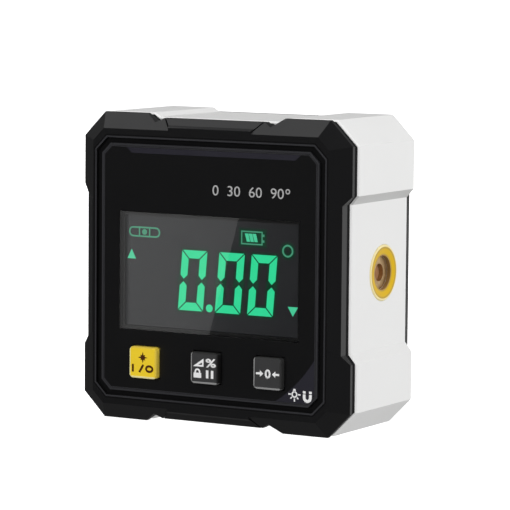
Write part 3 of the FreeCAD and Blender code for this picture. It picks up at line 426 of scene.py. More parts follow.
white_satin = moulded("white_satin_plastic", (0.80, 0.80, 0.795), (0.83, 0.83, 0.825), 0.46)
# Painted highlight on the housing's front chamfer, and painted shade in the hollows under its upper ears.
painted_front_highlight = white_satin.soft_step(0 - white_satin.facing("Y"), *FRONT_FACING)
painted_hollow_shade = white_satin.soft_step(0 - white_satin.facing("Z"), *UNDER_FACING)
painted_hollow_shade = painted_hollow_shade * white_satin.soft_step(white_satin.along("Z"), *UPPER_PART)
for tone, mask in (((0.97, 0.97, 0.965), painted_front_highlight), ((0.60, 0.60, 0.595), painted_hollow_shade)):
    white_satin.vary("Base Color", white_satin.blend(white_satin.current("Base Color"), tone, mask))
soft_rubber = moulded("seal_rubber", (0.004, 0.004, 0.0045), (0.006, 0.006, 0.0065), 0.8, sheen=0.25)

dress(bezel_satin, "front_bezel", edge=0.06)
dress(white_satin, "mid_housing", edge=0.1)
dress(soft_rubber, "seal_ring")
dress(black_satin, "rear_cover")
dress(black_satin, "battery_door", edge=0.12)
print("moulded pieces are dressed")

# %% [markdown]
# Drawing flat signs
#
# What is printed on the panel and the keys, and what lights up on the display, is flat and thin. It could be
# painted with masks in the material, but a formula for a battery sign is hard to read. Drawn as outlines and
# given a thickness of a few hundredths of a millimetre, each sign is a real thin solid, as a screen print is a
# real layer of ink. An outline is a list of corners in millimetres, to the right and up from the middle of the
# face, and it may have holes.

# %% Helpers for flat signs
middle_height = (cad_low.z + cad_high.z) / 2 / MM
INK = 0.02


def arc(across, up, wide, high, start=0.0, sweep=2 * math.pi, steps=40):
    """Corners along an oval, from half its sides, a turn to start at and a turn to sweep through."""
    turns = [start + sweep * step / steps for step in range(steps + 1)]
    return [(across + wide * math.cos(turn), up + high * math.sin(turn)) for turn in turns]


def oval(across, up, wide, high):
    """Corners of an oval outline, from half its sides."""
    return arc(across, up, wide, high)[:-1]


def circle(across, up, radius):
    """Corners of a round outline."""
    return oval(across, up, radius, radius)


def ring(across, up, outer, inner):
    """A round band: its outline and its hole."""
    return circle(across, up, outer), circle(across, up, inner)


def bar(start, end, width):
    """A straight stroke between two points."""
    start, end = Vector(start), Vector(end)
    way = (end - start).normalized()
    side = Vector((-way.y, way.x)) * width / 2
    return ([tuple(start - side), tuple(end - side), tuple(end + side), tuple(start + side)],)


def rectangle(left, right, low, top):
    """An upright rectangle."""
    return [(left, low), (right, low), (right, top), (left, top)]


def add_piece(name, mesh, finish, body):
    """Make a finished mesh a piece of the object, which rides on one of its bodies."""
    bmesh.ops.recalc_face_normals(mesh, faces=mesh.faces)
    data = bpy.data.meshes.new(name)
    mesh.to_mesh(data)
    mesh.free()
    data.materials.append(finish.material)
    piece = add_object(name, data)
    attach(piece, body)


def flat_piece(name, shapes, face, finish, body="case", rise=INK):
    """One thin solid made of outlines that stand a little proud of a face at a given depth."""
    mesh = bmesh.new()
    for shape in shapes:
        loops = [[Vector((across, up, 0)) for across, up in loop] for loop in shape]
        front, back = ([mesh.verts.new((spot.x * MM, depth * MM, (spot.y + middle_height) * MM))
                        for loop in loops for spot in loop] for depth in (face - rise, face))
        for a, b, c in tessellate_polygon(loops):
            mesh.faces.new((front[a], front[b], front[c]))
            mesh.faces.new((back[c], back[b], back[a]))
        first = 0
        for loop in loops:
            count = len(loop)
            for step in range(count):
                here, there = first + step, first + (step + 1) % count
                mesh.faces.new((front[here], front[there], back[there], back[here]))
            first += count
    add_piece(name, mesh, finish, body)


panel_low, panel_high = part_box("front_panel")
PANEL_FACE = panel_low.y / MM
PANEL_HALF = panel_high.x / MM
PANEL_CORNER = 1.7
print("panel face at", round(PANEL_FACE, 3), "mm, half its width", round(PANEL_HALF, 2), "mm")

# %% [markdown]
# The front panel
#
# The panel is a thin black sheet, printed from behind, so that its surface is smooth with a soft gloss. A thin
# grey line along its edge is a painted highlight, a grey band sits at the top, and the lower right corner is a
# grey patch bounded by an arc. Round the panel the frame has a narrow groove, with a raised rim on its inner
# side and two thin lines outside. The rim and the inner line are grey as painted highlights, where the edges
# would catch the light, and the outer line and a sheet on the groove's floor are dark as painted shade. All of
# these are bands between two outlines with cut corners, so one function draws the outline and grows it as
# asked. The inks and the painted tones differ only in tone and gloss, and come from one function too.

# %% Inks, painted edge tones and panel black


def smooth_layer(name, dim, bright, blotch, roughness, gloss=0.32, uneven=0.08):
    """A smooth layer between two close tones, in blotches of a size in millimetres."""
    finish = Finish(name, {"Specular IOR Level": gloss})
    finish.cloudy(dim, bright, blotch * MM, roughness, uneven)
    return finish


panel_black = smooth_layer("panel_black", (0.0066, 0.0066, 0.0070), (0.0080, 0.0080, 0.0085), 9, 0.3)
grey_ink = smooth_layer("grey_ink", (0.020, 0.019, 0.027), (0.026, 0.025, 0.034), 5, 0.34)
# The line tone is a painted highlight where edges catch the light, and the groove tone is painted shade.
painted_edge_highlight = smooth_layer("painted_edge_highlight", (0.028, 0.028, 0.031), (0.034, 0.034, 0.038), 4, 0.36)
painted_groove_shade = smooth_layer("painted_groove_shade", (0.0048, 0.0048, 0.0051), (0.0060, 0.0060, 0.0064), 4, 0.55, 0.2, 0.1)

# %% Outlines of the panel


def eight_sided(wide, high, corner, out):
    """A rectangle with cut corners, from half its sides, grown all round by a little."""
    wide, high, corner = wide + out, high + out, corner + out * (2 - math.sqrt(2))
    quarter = [(wide - corner, high), (wide, high - corner)]
    right_low = [(across, -up) for across, up in reversed(quarter)]
    return quarter + right_low + [(-across, up) for across, up in reversed(quarter + right_low)]


def corner_patch(half, corner, radius):
    """The part of the panel's lower right corner that lies outside a circle about the middle."""
    start = math.acos(half / radius)
    edge = arc(0, 0, radius, -radius, start, math.pi / 2 - 2 * start, steps=24)
    return edge + [(half - corner, -half), (half, corner - half)]


# %% Lines, band and patch of the panel
LINE_WIDTH = 0.17
RIM_WIDTH = 0.4
PATCH_INSET = 0.24
PANEL_OUTLINE = (PANEL_HALF, PANEL_HALF, PANEL_CORNER)
GROOVE_OUTLINE = (25.3, 25.095, 2.4)
GROOVE_DEPTH = 0.6
GROOVE_BACK = PANEL_FACE + GROOVE_DEPTH
RIM_RISE = GROOVE_DEPTH + INK
PATCH_RADIUS = 27.8
BAND_LEFT, BAND_RIGHT = -18.4, 20.1
BAND_LOW, BAND_TOP = 22.3, 23.34
BAND_SLANT = 1.2

dress(panel_black, "front_panel", edge=0.06)
# The edge lines and the rim carry the painted highlight, and the outer groove line the painted shade.
for name, outline, inner, outer, face, rise, finish, slot in (
        ("panel_edge_highlight", PANEL_OUTLINE, -0.03 - LINE_WIDTH, -0.03, PANEL_FACE, INK, painted_edge_highlight, "panel"),
        ("panel_rim", PANEL_OUTLINE, 0.04, 0.04 + RIM_WIDTH, GROOVE_BACK, RIM_RISE, painted_edge_highlight, "bezel"),
        ("groove_edge_highlight", GROOVE_OUTLINE, 0.02, 0.34, PANEL_FACE, INK, painted_edge_highlight, "bezel"),
        ("groove_outer_shade", GROOVE_OUTLINE, 0.36, 0.62, PANEL_FACE, INK, painted_groove_shade, "bezel")):
    loops = (eight_sided(*outline, out=outer), eight_sided(*outline, out=inner))
    flat_piece(name, [loops], face, finish, rise=rise)
# A dark sheet of painted shade lies on the groove's floor.
loops = (eight_sided(*GROOVE_OUTLINE, out=-0.02), eight_sided(*PANEL_OUTLINE, out=0.06 + RIM_WIDTH))
flat_piece("groove_floor_shade", [loops], GROOVE_BACK, painted_groove_shade)
band = [(BAND_LEFT, BAND_TOP), (BAND_LEFT + BAND_SLANT, BAND_LOW), (BAND_RIGHT - BAND_SLANT, BAND_LOW),
        (BAND_RIGHT, BAND_TOP)]
flat_piece("panel_band", [(band,)], PANEL_FACE, grey_ink)
patch = corner_patch(PANEL_HALF - PATCH_INSET, PANEL_CORNER, PATCH_RADIUS)
flat_piece("panel_corner_patch", [(patch,)], PANEL_FACE, grey_ink)
print("panel has its line, band and patch")

# %% [markdown]
# Signs on the panel
#
# The sign above the display is a row of plain numbers with a degree ring, as on the scale of an angle gauge.
# The two small signs in the corner say that the display is lit and that the base holds to steel. Numbers are
# hard to draw as outlines by hand, so they come from Blender's own letters, turned into a mesh.

# %% White ink and numbers
white_ink = smooth_layer("white_ink", (0.78, 0.78, 0.78), (0.92, 0.92, 0.92), 1.5, 0.45, 0.3, 0.1)
pale_ink = smooth_layer("pale_ink", (0.40, 0.40, 0.40), (0.48, 0.48, 0.48), 1.5, 0.45, 0.3, 0.1)


def number_sign(name, text, left, low, width, height, face, finish, body, slot, weight=0.0):
    """Plain figures in ink that fill a box of a given width and height on a face."""
    curve = bpy.data.curves.new(name, "FONT")
    curve.body = text
    curve.offset = weight
    curve.resolution_u = 4
    letters = bpy.data.objects.new(name, curve)
    flat = bpy.data.meshes.new_from_object(letters)
    bpy.data.objects.remove(letters)
    xs = [corner.co.x for corner in flat.vertices]
    ys = [corner.co.y for corner in flat.vertices]
    across = width / (max(xs) - min(xs))
    tall = height / (max(ys) - min(ys))
    mesh = bmesh.new()
    mesh.from_mesh(flat)
    for corner in mesh.verts:
        right, up = left + (corner.co.x - min(xs)) * across, low + (corner.co.y - min(ys)) * tall
        corner.co = (right * MM, (face - INK) * MM, (up + middle_height) * MM)
    bmesh.ops.remove_doubles(mesh, verts=mesh.verts, dist=JOIN_WITHIN)
    grown = bmesh.ops.extrude_face_region(mesh, geom=mesh.faces[:])
    for part in grown["geom"]:
        if isinstance(part, bmesh.types.BMVert):
            part.co.y += INK * MM
    bpy.data.meshes.remove(flat)
    add_piece(name, mesh, finish, body)


NUMBERS_BOX = (0.9, 14.95, 15.6, 1.95)
PANEL_DEGREE = (17.35, 16.4, 0.5, 0.28)
number_sign("panel_numbers", "0  30  60  90", *NUMBERS_BOX, PANEL_FACE, pale_ink, "case", "panel")
flat_piece("panel_degree_ring", [ring(*PANEL_DEGREE)], PANEL_FACE, pale_ink)

# %% Lamp sign and magnet sign
LAMP_SIGN = (19.2, -21.75)
MAGNET_SIGN = (21.97, -22.2)


def lamp_sign(across, up, outer=0.64, inner=0.36, cap=0.3, gap=0.78, stroke=0.27):
    """A small glowing bulb: a ring with a cap above it and five rays."""
    shapes = [ring(across, up, outer, inner), (circle(across, up + gap, cap),)]
    middle = Vector((across, up))
    for turn, reach in ((0, 1.32), (-45, 1.2), (-90, 1.38), (-135, 1.2), (180, 1.32)):
        way = Vector((math.cos(math.radians(turn)), math.sin(math.radians(turn))))
        shapes.append(bar(middle + way * gap, middle + way * reach, stroke))
    return shapes


def magnet_sign(across, up, outer=0.95, inner=0.36, arm=0.62, gap=0.16, tip=0.46):
    """A horseshoe magnet with its two tips set off."""
    outside = arc(across, up, outer, outer, math.pi, math.pi, steps=16)
    inside = arc(across, up, inner, inner, math.pi, math.pi, steps=16)[::-1]
    shoe = outside + [(across + outer, up + arm), (across + inner, up + arm)]
    shoe += inside + [(across - inner, up + arm), (across - outer, up + arm)]
    shapes = [(shoe,)]
    low = up + arm + gap
    for left in (across - outer, across + inner):
        shapes.append((rectangle(left, left + outer - inner, low, low + tip),))
    return shapes


flat_piece("lamp_sign", lamp_sign(*LAMP_SIGN), PANEL_FACE, white_ink, rise=2 * INK)
flat_piece("magnet_sign", magnet_sign(*MAGNET_SIGN), PANEL_FACE, white_ink, rise=2 * INK)
print("panel signs are drawn")

# %% [markdown]
# The display
#
# The window is a clear hard-coated sheet. Behind it lies the liquid crystal cell, which is nearly black where
# it is switched off and lets a little of its back light through, and green where a segment is open. The window
# could be real refracting glass, but light from the lamps would then reach the cell only by chance, as noise.
# A sheet that doesn't bend light and has a glossy coat looks the same from outside, and stays clean.

# %% Window and cell
clear_window = Finish("clear_window", {
    "Base Color": (0.97, 0.98, 0.98, 1), "Roughness": 0.0, "IOR": 1.0, "Transmission Weight": 1.0,
    "Coat IOR": 1.5, "Coat Roughness": 0.0})
clear_window.vary("Coat Weight", 1 - clear_window.add("ShaderNodeNewGeometry", output="Backfacing"))
dress(clear_window, "display_lens")

CELL_GLOW = (0.0130, 0.0132, 0.0146, 1)
dark_cell = Finish("dark_cell", {"Roughness": 0.3, "Emission Color": CELL_GLOW, "Emission Strength": 1.0})
dark_cell.cloudy((0.004, 0.004, 0.005), (0.008, 0.008, 0.009), 6 * MM)
dress(dark_cell, "lcd_glass")

# %% [markdown]
# What the display shows
#
# A digit of a liquid crystal display has seven segments with mitred corners, and it leans a little. The whole
# figure is drawn once, upright, from its width, height and stroke, then sheared and moved to each place. The
# line of sight crosses the window before it meets the cell, so a sign that appears at one place of the panel's
# plane really lies a little further left and lower: it moves by the depth of the cell times the slope of the
# view. What is lit spills a little light over the cell, and two faint rings round it, a narrow and a wide one,
# show that.

# %% Places on the cell
CELL_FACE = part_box("lcd_glass")[0].y / MM
cell_depth = CELL_FACE - PANEL_FACE
view = AIM - camera.matrix_world.translation
SIGHT_SHIFT = (cell_depth * view.x / view.y, cell_depth * view.z / view.y)
print("a sign on the cell moves by", [round(step, 2) for step in SIGHT_SHIFT], "mm")


def seen_at(shapes):
    """Move outlines that are given where the eye sees them to where they lie on the cell."""
    return [tuple([(across + SIGHT_SHIFT[0], up + SIGHT_SHIFT[1]) for across, up in loop] for loop in shape)
            for shape in shapes]


# %% Seven-segment zero
DIGIT_WIDTH = 5.6
DIGIT_LOW, DIGIT_TOP = -7.45, 4.2
STROKE = 1.55
MITRE_GAP = 0.16
WAIST_GAP = 0.24
LEAN = 0.0824
DIGIT_PLACES = (-3.42, 4.86, 12.0)


def zero_segments():
    """The six open segments of an upright 0 about its own middle."""
    half, high, thick = DIGIT_WIDTH / 2, (DIGIT_TOP - DIGIT_LOW) / 2, STROKE
    top = [(MITRE_GAP - half, high), (half - MITRE_GAP, high), (half - MITRE_GAP - thick, high - thick),
           (MITRE_GAP + thick - half, high - thick)]
    side = [(half, high - MITRE_GAP), (half, WAIST_GAP + thick / 2), (half - thick / 2, WAIST_GAP),
            (half - thick, WAIST_GAP + thick / 2), (half - thick, high - thick - MITRE_GAP)]
    segments = []
    for level in (1, -1):
        segments.append([(across, level * up) for across, up in top])
        for edge in (1, -1):
            segments.append([(edge * across, level * up) for across, up in side])
    return segments


def leaning(place, outlines):
    """Upright outlines of a digit that lean to the right, with their middle at a place across the face."""
    middle = (DIGIT_LOW + DIGIT_TOP) / 2
    return [([(place + across + LEAN * up, middle + up) for across, up in outline],) for outline in outlines]


# %% Other lit signs
POINT = (0.35, -6.74)
DEGREE = (17.48, 5.24)
DEGREE_RADII = (1.2, 0.88)
BATTERY = (7.3, 12.0, 6.0, 8.6)
UPWARDS = [(-18.23, 1.86), (-16.28, 1.86), (-17.25, 3.73)]
DOWNWARDS = [(17.59, -5.28), (18.70, -7.10), (19.82, -5.28)]
CONTACT_LEVELS, CONTACT_HALF, CONTACT_REACH = (6.75, 7.85), 0.22, 0.4


def battery_case(line=0.24):
    """A battery's outline with two contacts."""
    left, right, low, top = BATTERY
    shapes = [(rectangle(*BATTERY), rectangle(left + line, right - line, low + line, top - line))]
    for level in CONTACT_LEVELS:
        shapes.append((rectangle(right, right + CONTACT_REACH, level - CONTACT_HALF, level + CONTACT_HALF),))
    return shapes


def battery_charge():
    """Three slanting bars of charge."""
    bar_outline = [(0.45, 6.55), (1.15, 6.55), (0.75, 8.1), (0, 8.1)]
    starts = [BATTERY[0] + 0.8 + step * 0.85 for step in range(3)]
    return [([(start + across, up) for across, up in bar_outline],) for start in starts]


def vial_sign():
    """A level vial: a long rounded case with its bubble between two lines."""
    left, right, low, top, line = -17.9, -10.8, 6.15, 8.15, 0.3
    bubble, mark, stroke = 0.55, 1.15, 0.26
    middle = (left + right) / 2
    up = (low + top) / 2

    def capsule(inset):
        radius = (top - low) / 2 - inset
        near, far = left + (top - low) / 2, right - (top - low) / 2
        right_end = arc(far, up, radius, radius, -math.pi / 2, math.pi, steps=12)
        left_end = arc(near, up, -radius, -radius, -math.pi / 2, math.pi, steps=12)
        return right_end + left_end

    shapes = [(capsule(0), capsule(line)), (circle(middle, up, bubble),)]
    for across in (middle - mark, middle + mark):
        shapes.append(bar((across, low + line), (across, top - line), stroke))
    return shapes


# %% Lit green and its halo
NEAR_REACH, NEAR_RISE = 0.22, 0.016
FAR_REACH, FAR_RISE = 0.55, 0.008
LIT_RISE = 0.03
OUTER_CORNER, INNER_CORNER = 0.3, 0.5


def glowing(name, dim, bright):
    """A finish that shines by itself, between two close tones."""
    finish = Finish(name, {"Roughness": 0.4, "Emission Strength": 1.0})
    even = finish.speckle(2.5 * MM)
    finish.vary("Base Color", finish.blend((0.001, 0.01, 0.006), (0.002, 0.02, 0.01), even))
    finish.vary("Emission Color", finish.blend(dim, bright, even))
    return finish


lit_green = glowing("lit_green", (0.020, 0.66, 0.28), (0.032, 0.72, 0.33))
bright_green = glowing("bright_green", (0.05, 0.55, 0.29), (0.08, 0.64, 0.34))
thin_green = glowing("thin_green", (0.05, 0.27, 0.155), (0.07, 0.33, 0.195))
near_halo = glowing("near_halo", (0.0004, 0.030, 0.012), (0.0008, 0.038, 0.015))
far_halo = glowing("far_halo", (0.004, 0.017, 0.011), (0.006, 0.021, 0.013))


def halos(grow):
    """Where the light of digits and signs spills over: their outlines, grown on both sides."""
    half, high = DIGIT_WIDTH / 2, (DIGIT_TOP - DIGIT_LOW) / 2
    outer = eight_sided(half, high, OUTER_CORNER, out=grow)
    inner = eight_sided(half - STROKE, high - STROKE, INNER_CORNER, out=-grow)
    shapes = [tuple(loop for shape in leaning(place, [outer, inner]) for loop in shape)
              for place in DIGIT_PLACES]
    left, right, low, top = BATTERY
    shapes.append((rectangle(left - grow, right + CONTACT_REACH + grow, low - grow, top + grow),))
    shapes.append(ring(*DEGREE, DEGREE_RADII[0] + grow, DEGREE_RADII[1] - grow))
    return shapes


digits = [segment for place in DIGIT_PLACES for segment in leaning(place, zero_segments())]
thin_signs = [ring(*DEGREE, *DEGREE_RADII)] + battery_case() + vial_sign()
for name, shapes, rise, finish in (
        ("lit_digits", digits + [(circle(*POINT, 0.75),)], LIT_RISE, lit_green),
        ("lit_marks", battery_charge() + [(UPWARDS,), (DOWNWARDS,)], LIT_RISE, bright_green),
        ("lit_signs", thin_signs, LIT_RISE, thin_green),
        ("near_halos", halos(NEAR_REACH), NEAR_RISE, near_halo),
        ("far_halos", halos(FAR_REACH), FAR_RISE, far_halo)):
    flat_piece(name, seen_at(shapes), CELL_FACE, finish, rise=rise)
print("display shows", len(digits), "segments")

# %% [markdown]
# The glare on the window
#
# The left part of the window mirrors something pale with a straight slanting edge: the edge of a soft box.
# Instead of painting a lighter patch, we put that lamp where the window mirrors it. The mirror image of the
# camera behind the window sends a straight line through each point of the window and on to the lamp. So the
# two ends of the slanting edge give two points that the lamp's own edge has to run through.

# %% A lamp for the glare
GLARE_TOP = Vector((6.74, PANEL_FACE, 10.86 + middle_height)) * MM
GLARE_LOW = Vector((0.23, PANEL_FACE, -12.14 + middle_height)) * MM
GLARE_REACH = 0.15
GLARE_SIZE = 70 * MM
GLARE_SHINE = 0.78


def mirrored_point(spot):
    """Where the line of sight that the window mirrors at a spot goes on to."""
    eye = camera.matrix_world.translation.copy()
    eye.y = 2 * PANEL_FACE * MM - eye.y
    return spot + (spot - eye) * GLARE_REACH


def make_glare_lamp():
    """A lamp that only the window mirrors, with one edge along the slanting line."""
    top, low = mirrored_point(GLARE_TOP), mirrored_point(GLARE_LOW)
    along = (top - low).normalized()
    away = Vector(BACKWARDS)
    sideways = away.cross(along).normalized()
    middle = (top + low) / 2 - sideways * GLARE_SIZE / 2
    place = Matrix.Translation(middle) @ Matrix((sideways, along, -away)).transposed().to_4x4()
    power = GLARE_SHINE * math.pi * GLARE_SIZE ** 2
    lamp = add_lamp("glare_soft_box", GLARE_SIZE, GLARE_SIZE, power, place)
    lamp.visible_diffuse = False
    only_window = bpy.data.collections.new("glare_receivers")
    only_window.objects.link(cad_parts["display_lens"])
    lamp.light_linking.receiver_collection = only_window
    return lamp


glare_lamp = make_glare_lamp()
print("glare lamp stands at", [round(place / MM, 1) for place in glare_lamp.matrix_world.translation], "mm")

# %% [markdown]
# Keys
#
# The caps are moulded in colour, yellow for the power key and dark grey for the two others. A painted
# highlight makes them pale at the left and the lower edge, and painted shade makes them darker towards the
# other two edges and down their sides. A flat colour with a bevel would show none of that. So each cap's
# finish measures how far a point is from the cap's own edges, and adds the pale painted highlight and the
# dark painted shade to the colour, each key with its own tones.

# %% Key caps
KEY_SIDE = 6.1
HIGHLIGHT_MARGIN = (0.46, 0.276)
HIGHLIGHT_STOPS = (0.4, 0.25)
SHADE_MARGIN = (0.5, 0.0)


def key_cap(node, name, top, top_light, rim, shade):
    """Satin cap with a painted highlight at the left and below, and painted shade at the right, above and on
    its side.
    """
    low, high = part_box(node)
    middle = (low + high) / 2
    half = KEY_SIDE / 2 * MM
    finish = Finish(name, {"Specular IOR Level": 0.18})
    cloud = finish.speckle(3 * MM)
    across, up = finish.along("X") - middle.x, finish.along("Z") - middle.z
    uneven = (cloud - 0.5) * (0.12 * MM)

    def margin(reach, outer, inner):
        """0 well inside the cap and 1 at its edge, between two distances from the edge in millimetres."""
        return finish.soft_step(reach, half - outer * MM, half - inner * MM)

    # Painted highlight along the left and lower edges, and painted shade towards the right and upper edges.
    painted_low_highlight = margin(uneven - up, *HIGHLIGHT_MARGIN) * (1 - margin(across, *HIGHLIGHT_STOPS))
    pale = painted_low_highlight.or_more(margin(uneven - across, *HIGHLIGHT_MARGIN))
    dim = margin(across, *SHADE_MARGIN).or_more(margin(up, *SHADE_MARGIN))
    colour = finish.blend(top, top_light, cloud)
    colour = finish.blend(colour, shade, dim)
    colour = finish.blend(colour, rim, pale)
    # Painted shade on the side of the cap that faces right.
    colour = finish.blend(colour, shade, finish.soft_step(finish.facing("X"), 0.8, 0.95))
    finish.vary("Base Color", colour)
    finish.vary("Roughness", 0.4 + cloud * 0.1)
    grain(finish, 0.4)
    dress(finish, node, edge=0.12)


YELLOWS = (0.86, 0.60, 0.022), (0.92, 0.66, 0.032)
GREYS = (0.040, 0.040, 0.041), (0.048, 0.048, 0.049)
# The last two tones of each cap are its painted highlight and its painted shade.
key_cap("power_key", "yellow_cap", *YELLOWS, (1.0, 0.92, 0.46), (0.76, 0.56, 0.07))
for node, name, shade in (("hold_key", "middle_cap", 0.010), ("zero_key", "right_cap", 0.028)):
    key_cap(node, name, *GREYS, (0.36, 0.36, 0.36), (shade, shade, shade))
print("caps are dressed")

# %% [markdown]
# Signs on the keys
#
# The signs on the caps are plain ones that any such tool could carry: a glint with the line and ring of a
# power switch, a ramp and a per cent sign over a padlock and two pause bars, and a nought between two arrows.
# They are inked on the caps and ride with them, so that they go in when a key is pressed.

# %% Outlines of the key signs
dark_ink = smooth_layer("dark_ink", (0.065, 0.017, 0.002), (0.085, 0.028, 0.003), 1.5, 0.5, 0.3, 0.1)
KEY_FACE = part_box("power_key")[0].y / MM


def key_middle(node):
    """The middle of a key, across and up from the middle of the face."""
    low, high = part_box(node)
    return (low.x + high.x) / 2 / MM, (low.z + high.z) / 2 / MM - middle_height


def glint(across, up, reach, waist, points=8):
    """A star of thin rays, every second one shorter."""
    lengths = (reach, waist, reach * 0.68, waist)
    corners = []
    for step in range(2 * points):
        turn = math.pi * step / points + math.pi / 2
        length = lengths[step % 4]
        corners.append((across + length * math.cos(turn), up + length * math.sin(turn)))
    return [(corners,)]


def switch_sign(across, up, tall, reach=2.45, width=0.44):
    """The line and the ring of a power switch, with a slanting stroke between them."""
    half = tall / 2
    wide = half * 1.25
    shapes = [(rectangle(across - reach, across - reach + width, up - half, up + half),)]
    shapes.append(bar((across - 0.75, up - half), (across + 0.15, up + half), width))
    ring_across = across + reach - wide
    shapes.append((oval(ring_across, up, wide, half), oval(ring_across, up, wide - width, half - width)))
    return shapes


def padlock(across, up, tall, width=0.34):
    """A closed padlock."""
    half = tall * 0.52
    body = rectangle(across - half, across + half, up - tall / 2, up + tall * 0.08)
    outer, inner = half * 0.76, half * 0.76 - width
    base = up + tall * 0.08
    bend = up + tall * 0.2
    shackle = [(across + outer, base)] + arc(across, bend, outer, outer, 0, math.pi, steps=12)
    shackle += [(across - outer, base), (across - inner, base)]
    shackle += arc(across, bend, inner, inner, 0, math.pi, steps=12)[::-1]
    return [(body,), (shackle + [(across + inner, base)],)]


def ramp(left, right, low, top, width=0.34):
    """A slope drawn as the outline of a wedge."""
    steep = width * 2.3
    return [([(left, low), (right, low), (right, top)],
             [(left + steep * 1.5, low + width), (right - width, low + width), (right - width, top - steep)])]


def arrow(tip, tail, head=0.72, width=0.4):
    """A level arrow from tail to tip."""
    side = 1 if tip[0] > tail[0] else -1
    neck = (tip[0] - side * head, tip[1])
    head_corners = [tip, (neck[0], tip[1] + head * 0.85), (neck[0], tip[1] - head * 0.85)]
    return [(head_corners,)] + [bar(tail, neck, width)]


# %% Ink on the keys
power_at, hold_at, zero_at = (key_middle(name) for name in ("power_key", "hold_key", "zero_key"))
power_shapes = glint(power_at[0] + 0.12, power_at[1] + 1.02, 1.12, 0.46)
power_shapes += switch_sign(power_at[0] + 0.1, power_at[1] - 1.12, 1.5)
flat_piece("power_sign", power_shapes, KEY_FACE, dark_ink, "power_button")

hold_across, hold_up = hold_at[0] + 0.15, hold_at[1]
number_sign("percent_sign", "%", hold_across + 0.25, hold_up + 0.2, 2.3, 1.7, KEY_FACE, white_ink,
            "hold_button", "grey_keys", weight=0.03)
hold_shapes = ramp(hold_across - 2.55, hold_across - 0.2, hold_up + 0.25, hold_up + 1.85)
hold_shapes += padlock(hold_across - 1.55, hold_up - 1.1, 1.65)
for left in (hold_across + 0.35, hold_across + 1.45):
    hold_shapes.append((rectangle(left, left + 0.55, hold_up - 1.9, hold_up - 0.35),))
flat_piece("hold_sign", hold_shapes, KEY_FACE, white_ink, "hold_button")

zero_across, zero_up = zero_at[0] + 0.2, zero_at[1] - 0.05
number_sign("nought_sign", "0", zero_across - 0.62, zero_up - 0.85, 1.25, 1.75, KEY_FACE, white_ink,
            "zero_button", "grey_keys", weight=0.03)
arrows = arrow((zero_across - 0.95, zero_up), (zero_across - 2.55, zero_up))
arrows += arrow((zero_across + 0.95, zero_up), (zero_across + 2.5, zero_up))
flat_piece("zero_arrows", arrows, KEY_FACE, white_ink, "zero_button")
print("keys are inked")

# %% [markdown]
# The laser
#
# A yellow plastic ring lines the hole in the white side. It is paler at its outer lip, darker near its rims as
# painted shade, and brown in its bore as a painted shade that stands for the brass's reflection. Behind it
# sits a brass barrel that was turned on a lathe, which leaves fine rings about its axis, and in it a small
# coated lens. The turning marks are a wave along the axis on the bore and about the axis on the end face, so
# they follow the distance from the axis and the place along it together.

# %% Laser ring
laser_low, laser_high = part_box("laser_barrel")
laser_axis = ((laser_low.y + laser_high.y) / 2, (laser_low.z + laser_high.z) / 2)


def from_laser_axis(finish):
    """How far a point is from the laser's axis."""
    axis = (0, *laser_axis)
    off_axis = finish.add("ShaderNodeVectorMath", {"operation": "SUBTRACT"}, {0: finish.place(), 1: axis})
    across_axis = finish.add("ShaderNodeVectorMath", {"operation": "MULTIPLY"}, {0: off_axis, 1: (0, 1, 1)})
    return finish.add("ShaderNodeVectorMath", {"operation": "LENGTH"}, {0: across_axis}, output="Value")


ring_low, ring_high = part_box("laser_ring")
RING_OUTER = (ring_high.z - ring_low.z) / 2
RING_INNER = 3.3 * MM
SHADED_INSIDE, SHADED_OUTSIDE = (0.15, 0.5), (-0.95, -0.6)
LIP = (-0.5, -0.35)
BORE = (0.05, 0.2)

ring_yellow = Finish("ring_yellow", {"Specular IOR Level": 0.25})
cloud = ring_yellow.speckle(4 * MM)
radius = from_laser_axis(ring_yellow)


def past(edge, margins):
    """0 inside an edge of the ring and 1 outside it, between two margins in millimetres."""
    return ring_yellow.soft_step(radius, edge + margins[0] * MM, edge + margins[1] * MM)


colour = ring_yellow.blend((0.68, 0.42, 0.004), (0.74, 0.47, 0.008), cloud)
# Painted shade near the inner and outer rims, then a paler band at the outer lip.
painted_rim_shade = (1 - past(RING_INNER, SHADED_INSIDE)).or_more(past(RING_OUTER, SHADED_OUTSIDE))
colour = ring_yellow.blend(colour, (0.50, 0.33, 0.045), painted_rim_shade)
colour = ring_yellow.blend(colour, (0.92, 0.80, 0.42), past(RING_OUTER, LIP))
# On the bore, a brown painted shade stands for the brass barrel's reflection.
ring_yellow.vary("Base Color", ring_yellow.blend((0.42, 0.24, 0.08), colour, past(RING_INNER, BORE)))
ring_yellow.vary("Roughness", 0.4 + cloud * 0.1)
grain(ring_yellow, 0.5)

# %% Barrel and lens
TURN_PITCH = 0.35 * MM
TURN_DEPTH = 0.02 * MM
turned_brass = Finish("turned_brass", {"Metallic": 0.85})
turns = (from_laser_axis(turned_brass) + turned_brass.along("X")) * (2 * math.pi / TURN_PITCH)
marks = turned_brass.add("ShaderNodeMath", {"operation": "SINE"}, {0: turns}) * 0.5 + 0.5
turned_brass.cloudy((0.22, 0.11, 0.045), (0.95, 0.70, 0.36), 1.2 * MM, 0.3, 0.2)
turned_brass.emboss(marks, TURN_DEPTH, 0.7)

coated_lens = Finish("coated_lens", {"IOR": 1.5, "Roughness": 0.12, "Coat Weight": 1.0,
                                     "Coat Roughness": 0.05})
coated_lens.cloudy((0.36, 0.17, 0.08), (0.48, 0.26, 0.13), 1.5 * MM)

dress(ring_yellow, "laser_ring")
dress(turned_brass, "laser_barrel", "laser_diode")
dress(coated_lens, "laser_lens")
print("laser axis at", [round(place / MM, 2) for place in laser_axis], "mm")

